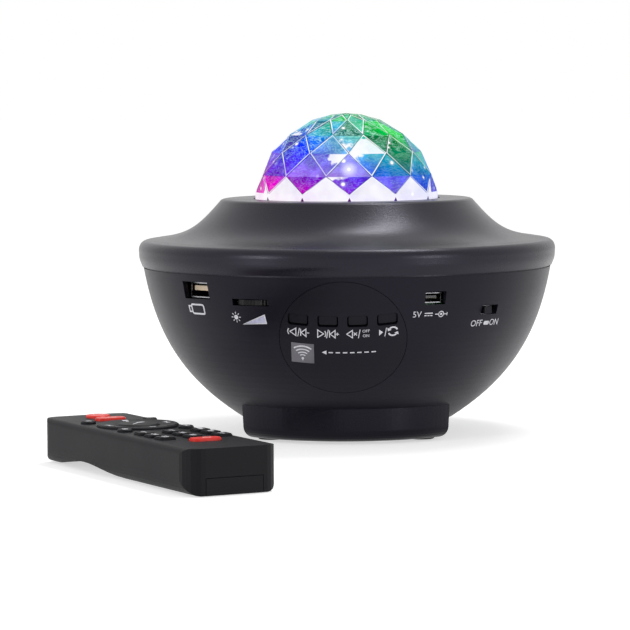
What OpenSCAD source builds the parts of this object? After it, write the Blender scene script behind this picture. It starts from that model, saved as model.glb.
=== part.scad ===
// Star night light projector with its remote control, in millimetres.
// The origin is the centre of the standing base on the floor, +Z is up, and the control side faces -Y.

/* [Housing] */
// Largest radius, at the rim of the upper housing
rim_r = 84.2; // [82:0.1:90]
// Height of the rim's widest line above the floor
rim_z = 74.4; // [73:0.1:77]
// Height of the seam between the upper and the lower housing
seam_z = 67.2; // [66:0.1:68]
// Wall of both housings
wall = 2.2; // [1.8:0.1:2.6]
// Height of the flat collar round the dome
collar_z = 94.6; // [93:0.1:98]
// Outer radius of the flat collar
collar_r = 49.3; // [49:0.1:52]
// Underside of the bowl above the floor
floor_z = 6.7; // [6.2:0.1:7.6]
// Radius of the bowl's flat underside
floor_r = 43; // [41:0.5:45]

/* [Foot] */
// Radius of the foot's round front and back
foot_r = 53; // [52:0.5:56]
// Half width of the foot between its flat sides
foot_half_w = 42; // [41:0.5:44]
// Thickness of the foot's bottom plate
foot_plate = 2.5; // [2.2:0.1:2.8]
// How far the rubber feet stand below the plate
feet_proud = 0.8; // [0.5:0.1:1.2]
// Radius of a rubber foot
feet_r = 5.5; // [4.5:0.1:6]
// Radius of one hole of the speaker grille
grille_hole_r = 1.6; // [1.2:0.1:1.8]

/* [Dome] */
// Radius of the sphere that the dome's corners lie on
dome_sphere_r = 37.4; // [36:0.1:38.5]
// Thickness of the clear dome
dome_wall = 2; // [1.5:0.1:2.5]
// Number of facets round the dome
dome_sides = 12; // [10:2:16]
// Width of the gap between the dome's corners and the collar
dome_gap = 0.5; // [0.3:0.1:0.8]

/* [Control panel] */
// Height of the round control panel's centre
panel_z = 41.9; // [41:0.1:43]
// Radius of the panel's hole in the bowl
panel_r = 24.7; // [24.5:0.1:26]
// Width of the button openings
button_w = 7.9; // [7.5:0.1:8.3]
// Height of the button openings
button_h = 4.6; // [4.2:0.1:5]
// Distance between two button centres
button_pitch = 11.4; // [11:0.1:11.8]
// Distance of the button row above the panel's centre
button_row = 8.8; // [8.5:0.1:9.2]
// How far the button caps sit below the panel's surface
button_recess = 0.9; // [0.5:0.1:1.2]
// Visible gap round the button caps
button_gap = 0.5; // [0.2:0.1:0.7]
// Travel of a button
button_travel = 0.8; // [0.5:0.1:1]
// Side of the square receiver window
window_side = 8.8; // [8:0.1:9.4]

/* [Sockets] */
// Width of the media socket's metal shell
media_w = 13.3; // [12.8:0.1:13.8]
// Height of the media socket's metal shell
media_h = 5.9; // [5.6:0.1:6.2]
// Height of the media socket's centre above the floor
media_z = 61; // [60:0.1:62]
// Width of the power inlet's metal shell
inlet_w = 7.7; // [7.2:0.1:8.2]
// Height of the power inlet's metal shell
inlet_h = 3.9; // [3.6:0.1:4.2]
// How far the sockets sit behind the bowl's surface
socket_sink = 2.8; // [0.8:0.1:3.2]
// Height of the power inlet's centre above the floor
inlet_z = 58.7; // [58:0.1:60]

/* [Dimmer and switch] */
// Radius of the dimmer thumbwheel
wheel_r = 9; // [8.5:0.1:9.5]
// Thickness of the thumbwheel
wheel_t = 2; // [1.8:0.1:2.3]
// Height of the thumbwheel's middle
wheel_z = 57.2; // [56.5:0.1:57.8]
// How far the wheel stands out of the bowl
wheel_proud = 0.5; // [0.3:0.1:0.9]
// Length of the thumbwheel's slot
wheel_slot_l = 16; // [15:0.1:17]
// Travel of the slide switch
switch_travel = 3.5; // [3:0.1:3.8]
// Width of the switch knob
knob_w = 4; // [3.6:0.1:4.2]

/* [Light and drive] */
// Height of the top of the posts that carry the optical deck
deck_z = 60; // [59.5:0.1:60.5]
// Thickness of the optical deck
deck_t = 2.5; // [2:0.1:3]
// Radius of the optical deck
deck_r = 52; // [50:0.5:54]
// Tooth size of the gear train, as pitch diameter over teeth
gear_module = 1; // [0.96:0.01:1]
// Teeth of the wave plate's ring
wave_teeth = 70; // [68:2:70]
// Teeth of the motor pinion
pinion_teeth = 14; // [14:2:14]
// Teeth of the grating's gear
grating_teeth = 20; // [18:2:20]
// Play between meshing teeth on each side of a tooth
tooth_play = 0.08; // [0.05:0.01:0.12]
// Radius of the drive motor's can
motor_r = 7.5; // [7:0.1:7.6]
// Radius of the spindle that the wave plate turns on
spindle_r = 2.5; // [2:0.1:2.8]

/* [Speaker] */
// Radius of the speaker's flange
speaker_r = 33; // [32.5:0.1:34]
// Radius of the sound opening in the bowl's floor
sound_r = 27; // [26:0.1:27.5]
// Travel of the speaker cone to each side
cone_travel = 1; // [0.5:0.1:1.2]

/* [Screws] */
// Shank radius of the housing and case screws
case_screw_r = 1.4; // [1.3:0.05:1.5]
// Shank radius of the small screws
small_screw_r = 1; // [0.9:0.05:1.1]
// Distance of the four housing posts from the middle axis
post_at = 42; // [41.5:0.1:42.5]

/* [Remote control] */
// Length of the remote control
remote_l = 126; // [124:0.5:134]
// Width of the remote control
remote_w = 36; // [36:0.5:40]
// Height of the remote control's case
remote_h = 16.5; // [16.5:0.1:18]
// Wall of the remote control's case
remote_wall = 1.4; // [1.2:0.1:1.5]
// How far the remote's underside rises at its waist
waist_h = 3.5; // [2:0.1:5]
// Travel of a remote key
key_travel = 0.5; // [0.3:0.1:0.6]
// How far the keys stand out of the case
key_proud = 1; // [0.8:0.1:1.4]
// Side of the remote's square keys
square_key = 6.3; // [5.8:0.1:6.6]
// Length of a battery
battery_l = 44.5; // [44:0.1:45]
// Radius of a battery
battery_r = 5.25; // [5:0.05:5.25]

/* [Fits] */
// Gap round moving buttons, keys and loose inserts
slide_gap = 0.2; // [0.15:0.01:0.3]
// Radial running clearance of turning parts
run_gap = 0.05; // [0.03:0.01:0.08]
// Radial gap round a screw in its hole
screw_gap = 0.08; // [0.05:0.01:0.15]

/* [Hidden] */
$fn = 96;
small_fn = 40;
cut = 1;                    // how far a cutter runs past the face that it opens
far = 120;                  // reach of a cutter that has to leave the housing
gap = 0.3;                  // gap between neighbours that must not touch

GRID_KEYS = [for (i = [1 : 9]) str("key_square_", i)];
ROUND_KEYS = [for (i = [1 : 4]) str("key_round_", i)];

// ---------- curves and outlines ----------

// A cubic curve from a to d, with b and c as its handles
function bezier(a, b, c, d, n) = [for (i = [0 : n]) let (t = i / n, s = 1 - t)
    a * s * s * s + b * 3 * s * s * t + c * 3 * s * t * t + d * t * t * t];

function unit(v) = v / norm(v);

// A line moved to its right-hand side by the distance d
function beside(line, d) = [for (i = [0 : len(line) - 1])
    let (t = unit(line[min(i + 1, len(line) - 1)] - line[max(i - 1, 0)]))
    line[i] + d * [t[1], -t[0]]];

// A rectangle round the origin with round corners
function round_rect(l, w, r, n = 6) = [for (c = [0 : 3], i = [0 : n])
    let (a = 90 * c + 90 * i / n, sx = (c == 0 || c == 3) ? 1 : -1, sy = c < 2 ? 1 : -1)
    [sx * (l / 2 - r) + r * cos(a), sy * (w / 2 - r) + r * sin(a)]];

// ---------- housing profiles, as radius and height ----------

collar_round = 2.65;        // radius of the collar's edge
collar_turn = 49;           // slope at which the edge runs into the flare
flare_top = [collar_r + collar_round * sin(collar_turn), collar_z - collar_round * (1 - cos(collar_turn))];
flare_end = [rim_r - 6.2, rim_z + 4.2];
rim_round = [3.3, 3.7];     // half axes of the rim's rounded upper edge
rim_tuck = 1.5;             // how far the skirt draws in below the rim
seam_step = 0.4;            // step from the upper housing to the bowl
groove_h = 0.6;             // height of the shadow gap above the seam
groove_in = 1;              // depth of the shadow gap
skirt_r = rim_r - rim_tuck;
bowl_top_r = skirt_r - seam_step;
flare_steps = 40;           // straight pieces in the flare's curve
skirt_steps = 8;            // and in the skirt's
bowl_steps = 22;            // and in the bowl's
collar_step = 3.5;          // degrees between the points of the collar's edge
rim_step = 7.5;             // and of the rim's

upper_line = concat(
    [for (a = [0 : collar_step : collar_turn - 1])
        [collar_r + collar_round * sin(a), collar_z - collar_round * (1 - cos(a))]],
    bezier(flare_top, flare_top + [9.2, -10.5], flare_end + [-13.9, 1.8], flare_end,
        flare_steps),
    [for (a = [0 : rim_step : 90])
        [rim_r - rim_round[0] * (1 - sin(a)), rim_z + rim_round[1] * cos(a)]],
    bezier([rim_r - 0.1, rim_z - 2.4], [rim_r - 0.2, rim_z - 4.4], [skirt_r + 0.3, seam_z + 1.4],
        [skirt_r, seam_z], skirt_steps)
);
bowl_line = bezier([bowl_top_r, seam_z], [bowl_top_r - 4.8, seam_z - 27.6], [floor_r + 23.5, floor_z + 15.1],
    [floor_r, floor_z], bowl_steps);
bowl_table = [for (p = bowl_line) [p[1], p[0]]];

// Outer radius of the bowl at a height
function bowl_r(z) = lookup(z, bowl_table);
// Slope of the bowl's wall at a height, in degrees from upright
function bowl_slope(z) = atan((bowl_r(z + 4) - bowl_r(z - 4)) / 8);

floor_top = floor_z + wall;
collar_under = collar_z - wall;
dome_low = 4.8;             // elevation of the dome's lowest corners, seen from the sphere's centre
dome_rings = [8.8, 20.1, 35.9, 51.1, 68.4, 80.5];
dome_turn = 3;              // turn of the dome's corners from the panel's side
dome_centre = collar_z - dome_sphere_r * sin(dome_low);
dome_base_r = dome_sphere_r * cos(dome_low);
dome_hole_r = dome_base_r + dome_gap;
flange_t = 1.6;             // thickness of the dome's flange
flange_r = dome_hole_r + 3.8;
flange_z = collar_under - flange_t;

module bowl_fill(inset = 0) {
    line = [for (p = beside(bowl_line, inset)) if (p[1] > floor_z + inset) p];
    rotate_extrude() polygon(concat([[0, seam_z]], [[bowl_top_r - inset, seam_z]],
        [for (p = line) if (p[1] < seam_z - 0.5) p],
        [[floor_r - inset / 2, floor_z + inset], [0, floor_z + inset]]));
}

module upper_fill(inset = 0) {
    line = beside(upper_line, inset);
    rotate_extrude() polygon(concat([[0, collar_z - inset]],
        [for (p = line) if (p[1] > seam_z + 0.3) p],
        [[skirt_r - inset, seam_z - inset / 100], [0, seam_z - inset / 100]]));
}

// ---------- places ----------

post_angles = [45, 135, 225, 315];
foot_screw_at = [13.7, 37.6];
speaker_screw_at = sound_r + 3.3;
panel_y = bowl_r(panel_z);
panel_tilt = bowl_slope(panel_z);
button_places = [-1.5, -0.5, 0.5, 1.5] * button_pitch;
window_at = [-15.6, -5.5];
media_angle = -45.4;
wheel_angle = -26.5;
inlet_angle = 26.3;
switch_angle = 45.8;

module at_posts() {
    for (a = post_angles) rotate([0, 0, a]) translate([post_at, 0, 0]) children();
}

module at_foot_screws() {
    for (x = [-1, 1], y = [-1, 1]) translate([x * foot_screw_at[0], y * foot_screw_at[1], 0]) children();
}

module at_speaker_screws() {
    for (a = [0 : 90 : 270]) rotate([0, 0, a]) translate([speaker_screw_at, 0, 0]) children();
}

// Local Z points out of the panel, local Y up along it
module at_panel() {
    translate([0, -panel_y, panel_z]) rotate([90 + panel_tilt, 0, 0]) children();
}

// Local -Y points straight out of the bowl at this angle from the panel's side
module at_side(angle, z) {
    translate([0, 0, z]) rotate([0, 0, angle]) children();
}

// A block centred on X and Z that runs along Y
module block(w, from_y, to_y, h) {
    translate([-w / 2, from_y, -h / 2]) cube([w, to_y - from_y, h]);
}

module at_board_screws(angles, z) {
    for (a = angles) rotate([0, 0, a]) translate([0, board_screw_in - bowl_top_r, z]) children();
}

// ---------- screws, with the head's underside at the origin and the shank down ----------

small_screw_l = 4.5;
small_head = [1.9, 1.3];    // radius and height
case_screw_l = 6;
case_head = [2.7, 2];
housing_screw_l = 20;
tip_room = 0.3;             // room past the tip of a small screw
deep_tip_room = 0.5;        // room past the tip of a screw in a deep boss

module screw(r, l, head) {
    difference() {
        union() {
            translate([0, 0, -l]) cylinder(r = r, h = l + head[1] / 2, $fn = small_fn);
            cylinder(r = head[0], h = head[1], $fn = small_fn);
        }
        for (a = [0, 90]) rotate([0, 0, a])
            translate([-head[0] * 0.6, -0.3, head[1] * 0.5]) cube([head[0] * 1.2, 0.6, head[1]]);
    }
}

module small_screw() {
    screw(small_screw_r, small_screw_l, small_head);
}

module case_screw() {
    screw(case_screw_r, case_screw_l, case_head);
}

// A pilot hole that leaves room for the screw's tip
module pilot(r, l) {
    translate([0, 0, -l]) cylinder(r = r + screw_gap, h = l + cut, $fn = small_fn);
}

// A pilot hole that is drilled from below
module pilot_up(r, l) {
    mirror([0, 0, 1]) pilot(r, l);
}

// A clear hole through a plate of the thickness t that stands on the origin
module screw_hole(r, t) {
    translate([0, 0, -cut]) cylinder(r = r + screw_gap, h = t + 2 * cut, $fn = small_fn);
}

// ---------- casing ----------

boss_r = 3.8;               // upper housing's screw bosses
boss_top = 84;
rib_t = 2;                  // ribs from the bosses out to the flare
rib_z = 72;
ear_boss_r = 3;             // bosses under the collar for the retainer's screws
screw_seat = 52;            // height of the shoulder under the housing screws' heads
access_r = 3.2;             // radius of the screwdriver's access in a post
ear_at = flange_r + 5;      // distance of the retainer's screws from the axis
ear_angles = [-90, 30, 150];
retainer_t = 2;
retainer_reach = 3;         // how far the retainer reaches past the dome's flange
retainer_z = flange_z - retainer_t;
tongue_gap = 0.4;           // between the tongue's lower end and the bowl's wall
tongue_t = 1;
tongue_l = 2;               // how far the upper housing's tongue reaches into the bowl

module at_ears() {
    for (a = ear_angles) rotate([0, 0, a]) translate([ear_at, 0, 0]) children();
}

module upper_housing() color([0.13, 0.13, 0.15]) {
    tongue_r = bowl_r(seam_z - tongue_l) - wall - tongue_gap;
    ledge_r = skirt_r - wall / 2;
    difference() {
        union() {
            difference() {
                upper_fill();
                upper_fill(wall);
                translate([0, 0, collar_under - cut]) cylinder(r = dome_hole_r, h = wall + 2 * cut);
            }
            intersection() {
                upper_fill();
                union() {
                    at_posts() {
                        translate([0, 0, deck_top]) cylinder(r = boss_r, h = boss_top - deck_top);
                        translate([0, -rib_t / 2, rib_z]) cube([rim_r, rib_t, boss_top + 1 - rib_z]);
                    }
                    at_ears() translate([0, 0, flange_z]) cylinder(r = ear_boss_r, h = flange_t + wall / 2);
                }
            }
            rotate_extrude() polygon([[tongue_r - tongue_t, seam_z - tongue_l], [tongue_r, seam_z - tongue_l],
                [tongue_r, seam_z + 0.4], [ledge_r, seam_z + 0.4], [ledge_r, seam_z + 2],
                [tongue_r - tongue_t, seam_z + 1.2]]);
        }
        rotate_extrude() translate([skirt_r - groove_in, seam_z - cut])
            square([groove_in + rim_tuck, cut + groove_h]);
        at_posts() translate([0, 0, screw_seat]) pilot_up(case_screw_r, housing_screw_l + 1);
        at_ears() translate([0, 0, retainer_z]) pilot_up(small_screw_r, small_screw_l + tip_room);
    }
}

board_t = 1.6;
left_board_z = media_z + media_h / 2;
right_board_z = inlet_z - inlet_h / 2 - board_t;
post_r = 4.5;               // posts that carry the deck
side_boss_w = 6;            // bosses on the bowl's wall for the side boards
side_boss_z = 40;
side_boss_l = 13.3;         // their length, from the seam's edge inwards
left_bosses = [-57, -37];
right_bosses = [36, 57];
board_screw_in = 9.3;       // how far inside the seam's edge the side boards' screws stand
side_depth = 22.3;          // how far inside the seam's edge the side openings reach

module board_bosses(angles, top) {
    for (a = angles) rotate([0, 0, a]) translate([-side_boss_w / 2, -bowl_top_r, side_boss_z])
        cube([side_boss_w, side_boss_l, top - side_boss_z]);
}

// A hole through the bowl's wall, with the width w and the height h
module side_hole(w, h) {
    block(w, -far, side_depth - bowl_top_r, h);
}

// A disc across the bowl's wall, in the panel's own frame
module panel_disc(r) {
    translate([0, 0, -panel_reach]) cylinder(r = r, h = 2 * panel_reach);
}

module lower_housing() color([0.13, 0.13, 0.15]) {
    difference() {
        union() {
            difference() {
                bowl_fill();
                bowl_fill(wall);
            }
            intersection() {
                bowl_fill();
                union() {
                    at_posts() cylinder(r = post_r, h = deck_z);
                    at_foot_screws() cylinder(r = foot_boss_r, h = floor_z + foot_boss_h);
                    board_bosses(left_bosses, left_board_z);
                    board_bosses(right_bosses, right_board_z);
                }
            }
            at_speaker_screws() translate([0, 0, foot_top + gap])
                cylinder(r = case_head[0], h = floor_z - foot_top - gap + cut);
        }
        translate([0, 0, floor_z - cut]) cylinder(r = sound_r, h = wall + 2 * cut);
        at_posts() translate([0, 0, -cut]) cylinder(r = access_r, h = screw_seat + cut);
        at_posts() translate([0, 0, screw_seat]) screw_hole(case_screw_r, deck_z - screw_seat);
        at_foot_screws() translate([0, 0, foot_screw_seat])
            pilot_up(case_screw_r, case_screw_l + deep_tip_room);
        at_speaker_screws() translate([0, 0, floor_top + speaker_t])
            pilot(case_screw_r, case_screw_l + deep_tip_room);
        at_board_screws(left_bosses, left_board_z + board_t)
            pilot(small_screw_r, small_screw_l + deep_tip_room);
        at_board_screws(right_bosses, right_board_z + board_t)
            pilot(small_screw_r, small_screw_l + deep_tip_room);
        at_panel() panel_disc(panel_r);
        at_side(media_angle, media_z) side_hole(media_w + media_room[0], media_h + media_room[1]);
        at_side(wheel_angle, wheel_z) side_hole(wheel_slot_l, wheel_t + wheel_room);
        at_side(inlet_angle, inlet_z) side_hole(inlet_w + inlet_room[0], inlet_h + inlet_room[1]);
        at_side(switch_angle, switch_z) side_hole(switch_slot_w, knob_h + knob_room);
    }
}

// ---------- foot ----------

foot_round = 4.5;           // radius of the foot's upright corners
foot_edge = 4.5;            // radius of the foot's lower edge
foot_draft = 1.3;           // how far the flat sides lean in at the bottom
foot_wall = 2.5;
foot_top = feet_proud + foot_plate;
foot_screw_seat = foot_top - 0.1;
foot_boss_r = 3;            // bosses on the bowl's floor for the foot's screws
foot_boss_h = 5.3;
foot_pad_r = 4;             // pads on the foot's plate round its screws

// Corner of the disc and the flat side, rounded, by its arc's centre
function foot_outline(r, w) = let (
        cx = w - foot_round,
        cy = sqrt(pow(r - foot_round, 2) - cx * cx),
        lean = atan2(cy, cx))
    concat(
        [for (a = [0 : lean / 6 : lean + 0.01]) [cx + foot_round * cos(a), cy + foot_round * sin(a)]],
        [for (a = [lean + (180 - 2 * lean) / 40 : (180 - 2 * lean) / 40 : 180 - lean - 0.1])
            [r * cos(a), r * sin(a)]],
        [for (a = [180 - lean : lean / 6 : 180.01]) [-cx + foot_round * cos(a), cy + foot_round * sin(a)]]);

module foot_block(inset) {
    bottom = feet_proud + (inset > 0 ? foot_plate : 0);
    r = foot_r - inset;
    w = foot_half_w - inset;
    half = foot_outline(r, w);
    edge = max(foot_edge - inset, 0.5);
    intersection() {
        translate([0, 0, bottom]) linear_extrude(20)
            polygon(concat(half, [for (p = half) -p]));
        rotate_extrude() polygon(concat([[0, 30], [r, 30]],
            [for (a = [0 : 15 : 90]) [r - edge * (1 - cos(a)), bottom + edge * (1 - sin(a))]],
            [[0, bottom]]));
        rotate([90, 0, 0]) translate([0, 0, -60]) linear_extrude(120)
            polygon(concat([for (s = [-1, 1]) [s * w, 30]], foot_side(w, bottom, edge),
                [for (p = reverse(foot_side(w, bottom, edge))) [-p[0], p[1]]]));
    }
}

function reverse(list) = [for (i = [len(list) - 1 : -1 : 0]) list[i]];

// The right flat side's lower edge, from the side to the bottom
function foot_side(w, bottom, edge) = [for (a = [0 : 15 : 90])
    [w - foot_draft - edge * (1 - cos(a)), bottom + edge * (1 - sin(a))]];

module grille_holes() {
    for (ring = [0 : 4]) for (i = [0 : max(6 * ring - 1, 0)]) rotate([0, 0, i * 60 / max(ring, 1)])
        translate([ring * 5.2, 0, 0]) cylinder(r = grille_hole_r, h = foot_plate + 2 * cut, $fn = small_fn);
}

feet_recess = 1.2;          // how deep the rubber feet sit in the plate

module foot_base() color([0.12, 0.12, 0.14]) {
    difference() {
        union() {
            difference() {
                foot_block(0);
                foot_block(foot_wall);
            }
            at_foot_screws() translate([0, 0, feet_proud + 1])
                cylinder(r = foot_pad_r, h = foot_boss_h + floor_z);
        }
        bowl_fill();
        translate([0, 0, floor_z]) cylinder(r = floor_r - 1, h = far);
        translate([0, 0, feet_proud - cut]) grille_holes();
        at_posts() translate([0, 0, -cut])
            cylinder(r = feet_r + slide_gap, h = feet_proud + feet_recess + cut);
        at_posts() translate([0, 0, -cut]) cylinder(r = access_r, h = far);
        at_foot_screws() translate([0, 0, -cut])
            cylinder(r = case_head[0] + slide_gap, h = foot_screw_seat + cut);
        at_foot_screws() cylinder(r = case_screw_r + screw_gap, h = far, $fn = small_fn);
    }
}

module rubber_feet() color([0.08, 0.08, 0.08]) {
    at_posts() rotate_extrude() polygon([[0, 0], [feet_r - 0.5, 0], [feet_r, 0.5],
        [feet_r, feet_proud + feet_recess], [0, feet_proud + feet_recess]]);
}

module housing_screws() color([0.6, 0.6, 0.62]) {
    at_posts() translate([0, 0, screw_seat]) mirror([0, 0, 1])
        screw(case_screw_r, housing_screw_l, case_head);
}

module case_screws() color([0.6, 0.6, 0.62]) {
    at_foot_screws() translate([0, 0, foot_screw_seat]) mirror([0, 0, 1]) case_screw();
    at_speaker_screws() translate([0, 0, floor_top + speaker_t]) case_screw();
}

module small_screws() color([0.7, 0.7, 0.72]) {
    at_ears() translate([0, 0, retainer_z]) mirror([0, 0, 1]) small_screw();
    at_board_screws(left_bosses, left_board_z + board_t) small_screw();
    at_board_screws(right_bosses, right_board_z + board_t) small_screw();
    at_panel() for (p = panel_posts) translate([p[0], p[1], control_board_w - board_t])
        mirror([0, 0, 1]) small_screw();
    at_standoffs() translate([0, 0, main_board_z - board_t]) mirror([0, 0, 1]) small_screw();
    at_lamp_posts() translate([0, 0, lamp_board_z + board_t]) small_screw();
}

// ---------- control panel, in the panel's own frame: u across, v up, w out ----------

panel_lip = 2.5;            // how far the panel's flange reaches behind the bowl
lip_t = 1.5;
panel_reach = 20;           // how far cutters run in and out of the panel
frame_w = -6.2;             // back of the block that the buttons sit in
frame_wall = 0.8;           // least wall of that block round the openings
window_t = 1.1;
sensor_window = 6;          // side of the hole behind the receiver window
panel_post_r = 2.2;
button_lip = 0.5;
button_lip_t = 1;
button_corner = 0.9;        // corner radius of the button openings
control_board_w = -12;      // front of the control board
control_board_size = [42, 34];
control_board_low = -15;    // its lower edge
stem_l = 0.3;
plunger_w = frame_w - button_lip_t - stem_l - button_travel - gap;
panel_posts = [[-18, -11], [18, -11], [0, 16]];

// A slice of the bowl's wall from one depth to another
module skin(from, to) {
    difference() {
        bowl_fill(from);
        bowl_fill(to);
    }
}

module window_prism(side) {
    corner = window_at - [side, side] / 2;
    translate([corner[0], corner[1], -panel_reach]) cube([side, side, 2 * panel_reach]);
}

module control_panel() color([0.12, 0.12, 0.14]) {
    block_w = 3 * button_pitch + button_w + 2 * frame_wall;
    block_h = button_h + 3;
    room_w = 3 * button_pitch + button_w + 2 * button_lip + 1;
    room_h = button_h + 2 * button_lip + 2.2;
    difference() {
        union() {
            intersection() {
                skin(0, wall);
                at_panel() panel_disc(panel_r - slide_gap);
            }
            intersection() {
                skin(wall, wall + lip_t);
                cylinder(r = far, h = seam_z - tongue_l - gap);
                at_panel() difference() {
                    panel_disc(panel_r + panel_lip);
                    translate([0, 0, -far]) cylinder(r = panel_r - panel_lip - slide_gap, h = 2 * far);
                }
            }
            intersection() {
                bowl_fill(wall / 2);
                at_panel() {
                    translate([-block_w / 2, button_row - block_h / 2, frame_w])
                        cube([block_w, block_h, -2 * frame_w]);
                    for (p = panel_posts) translate([p[0], p[1], control_board_w])
                        cylinder(r = panel_post_r, h = -control_board_w);
                }
            }
        }
        at_panel() {
            translate([-room_w / 2, button_row - room_h / 2, frame_w - panel_reach])
                cube([room_w, room_h, panel_reach]);
            for (u = button_places) translate([u, button_row, -panel_reach])
                linear_extrude(2 * panel_reach) polygon(round_rect(button_w, button_h, button_corner));
            window_prism(sensor_window);
            for (p = panel_posts) translate([p[0], p[1], control_board_w - board_t])
                pilot_up(small_screw_r, small_screw_l + tip_room);
        }
        intersection() {
            at_panel() window_prism(window_side + slide_gap);
            difference() {
                translate([0, 0, -cut]) cylinder(r = far, h = far);
                bowl_fill(window_t);
            }
        }
    }
}

module receiver_window() color([0.75, 0.75, 0.78]) {
    intersection() {
        skin(0, window_t);
        at_panel() window_prism(window_side);
    }
}

module push_button(u) {
    w = button_w - 2 * button_gap;
    h = button_h - 2 * button_gap;
    sink = [0, cos(panel_tilt), sin(panel_tilt)] * button_recess;
    intersection() {
        translate(sink) bowl_fill();
        at_panel() translate([u, button_row, frame_w - 0.1])
            linear_extrude(12) polygon(round_rect(w, h, button_corner - button_gap / 2));
    }
    at_panel() {
        lip = [button_w + 2 * button_lip, button_h + 2 * button_lip];
        translate([u - lip[0] / 2, button_row - lip[1] / 2, frame_w - button_lip_t])
            cube([lip[0], lip[1], button_lip_t]);
        translate([u, button_row, frame_w - button_lip_t - stem_l]) cylinder(r = 1.6, h = stem_l + 0.1);
    }
}

module button_previous() color([0.1, 0.1, 0.12]) push_button(button_places[0]);
module button_next() color([0.1, 0.1, 0.12]) push_button(button_places[1]);
module button_mute() color([0.1, 0.1, 0.12]) push_button(button_places[2]);
module button_repeat() color([0.1, 0.1, 0.12]) push_button(button_places[3]);

module control_board() color([0.1, 0.35, 0.2]) {
    at_panel() {
        difference() {
            translate([-control_board_size[0] / 2, control_board_low, control_board_w - board_t])
                cube([control_board_size[0], control_board_size[1], board_t]);
            for (p = panel_posts) translate([p[0], p[1], control_board_w - board_t])
                screw_hole(small_screw_r, board_t);
        }
        for (u = button_places) translate([u, button_row, control_board_w]) {
            translate([-3, -3, 0]) cube([6, 6, 2]);
            cylinder(r = 1.7, h = plunger_w - control_board_w);
        }
        translate([window_at[0] - 2.4, window_at[1] - 2.4, control_board_w]) cube([4.8, 4.8, 5]);
    }
}

// ---------- sockets ----------

// Front of what sits behind an opening, level with the bowl's lower edge there
function front_r(z, h, sink) = bowl_r(z - h / 2) - sink;

media_room = [1.2, 0.9];    // how much wider and higher the cut-outs are than the shells
inlet_room = [1.1, 1.2];
media_depth = 14;
inlet_depth = 9;
media_shell = 0.4;
inlet_shell = 0.35;
media_tongue = [2.4, 1.9, 0.7]; // how much narrower than the shell, how thick, how far above its middle
inlet_tongue = [3.2, 1, 0.3];

module socket(w, h, depth, shell, tongue, front) {
    difference() {
        block(w, -front, -front + depth, h);
        block(w - 2 * shell, -front - cut, -front + depth - 1, h - 2 * shell);
    }
    translate([0, 0, tongue[2]]) block(w - tongue[0], -front + 1, -front + depth - 0.5, tongue[1]);
}

module media_socket() color([0.75, 0.75, 0.78]) {
    at_side(media_angle, media_z)
        socket(media_w, media_h, media_depth, media_shell, media_tongue,
            front_r(media_z, media_h, socket_sink));
}

module power_inlet() color([0.75, 0.75, 0.78]) {
    at_side(inlet_angle, inlet_z)
        socket(inlet_w, inlet_h, inlet_depth, inlet_shell, inlet_tongue,
            front_r(inlet_z, inlet_h, socket_sink));
}

left_span = [-60, -17];     // angles from the panel's side between which the side boards lie
right_span = [20, 61];
left_rim_r = bowl_top_r - 5.8;
right_rim_r = bowl_top_r - 7.8;
left_width = 18.5;
right_width = 16.5;
chip_in = 10.5;             // from a side board's outer edge in to its chip

// A flat board between two angles, from its outer radius inwards
module side_board(z, span, outer, width, bosses) {
    difference() {
        rotate([0, 0, span[0] - 90]) rotate_extrude(angle = span[1] - span[0])
            translate([outer - width, z]) square([width, board_t]);
        at_board_screws(bosses, z) screw_hole(small_screw_r, board_t);
    }
}

wheel_at = bowl_r(wheel_z) + wheel_proud - wheel_r;
wheel_pin_r = 1.2;
wheel_room = 0.6;           // how much higher the wheel's slot is than the wheel
wheel_ridges = 44;
wheel_ridge = 0.35;

module left_board() color([0.1, 0.35, 0.2]) {
    body_z = wheel_t / 2 + gap;
    side_board(left_board_z, left_span, left_rim_r, left_width, left_bosses);
    at_side(wheel_angle, wheel_z) translate([0, -wheel_at, 0]) {
        translate([-4, -4, body_z]) cube([8, 8, left_board_z - wheel_z - body_z]);
        translate([0, 0, -wheel_t / 2 - 0.5])
            cylinder(r = wheel_pin_r, h = body_z + wheel_t / 2 + 0.6, $fn = small_fn);
    }
    rotate([0, 0, media_angle]) translate([-3, chip_in - left_rim_r, left_board_z + board_t - 0.1])
        cube([6, 5, 1.5]);
}

module dimmer_wheel() color([0.1, 0.1, 0.1]) {
    at_side(wheel_angle, wheel_z) translate([0, -wheel_at, -wheel_t / 2]) difference() {
        linear_extrude(wheel_t) polygon([for (i = [0 : 2 * wheel_ridges - 1]) let (a = i * 180 / wheel_ridges)
            (wheel_r - (i % 2) * wheel_ridge) * [cos(a), sin(a)]]);
        translate([0, 0, -cut]) cylinder(r = wheel_pin_r + run_gap, h = wheel_t + 2 * cut, $fn = small_fn);
    }
}

module right_board() color([0.1, 0.35, 0.2]) {
    side_board(right_board_z, right_span, right_rim_r, right_width, right_bosses);
    rotate([0, 0, switch_angle]) translate([-2, chip_in - right_rim_r, right_board_z + board_t - 0.1])
        cube([4, 4, 5]);
}

switch_h = 4.3;
switch_z = right_board_z - switch_h / 2;
switch_slot_w = knob_w + switch_travel + 1.3;
knob_h = 2.8;
knob_room = 0.9;            // how much higher the switch's slot is than the knob
knob_rest = -(switch_travel + 0.3) / 2;
switch_front = front_r(switch_z, switch_h, wall / cos(bowl_slope(switch_z)) + 0.4);
knob_base_w = knob_w + 1;
switch_w = knob_base_w + switch_travel + 2.6;

module switch_body() color([0.7, 0.7, 0.72]) {
    at_side(switch_angle, switch_z) difference() {
        block(switch_w, -switch_front, -switch_front + 5.5, switch_h);
        block(knob_base_w + switch_travel + 0.7, -switch_front + 0.8, -switch_front + 3.3, 3);
        block(knob_w + switch_travel + 0.7, -switch_front - cut, -switch_front + 2, 2.2);
    }
}

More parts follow.
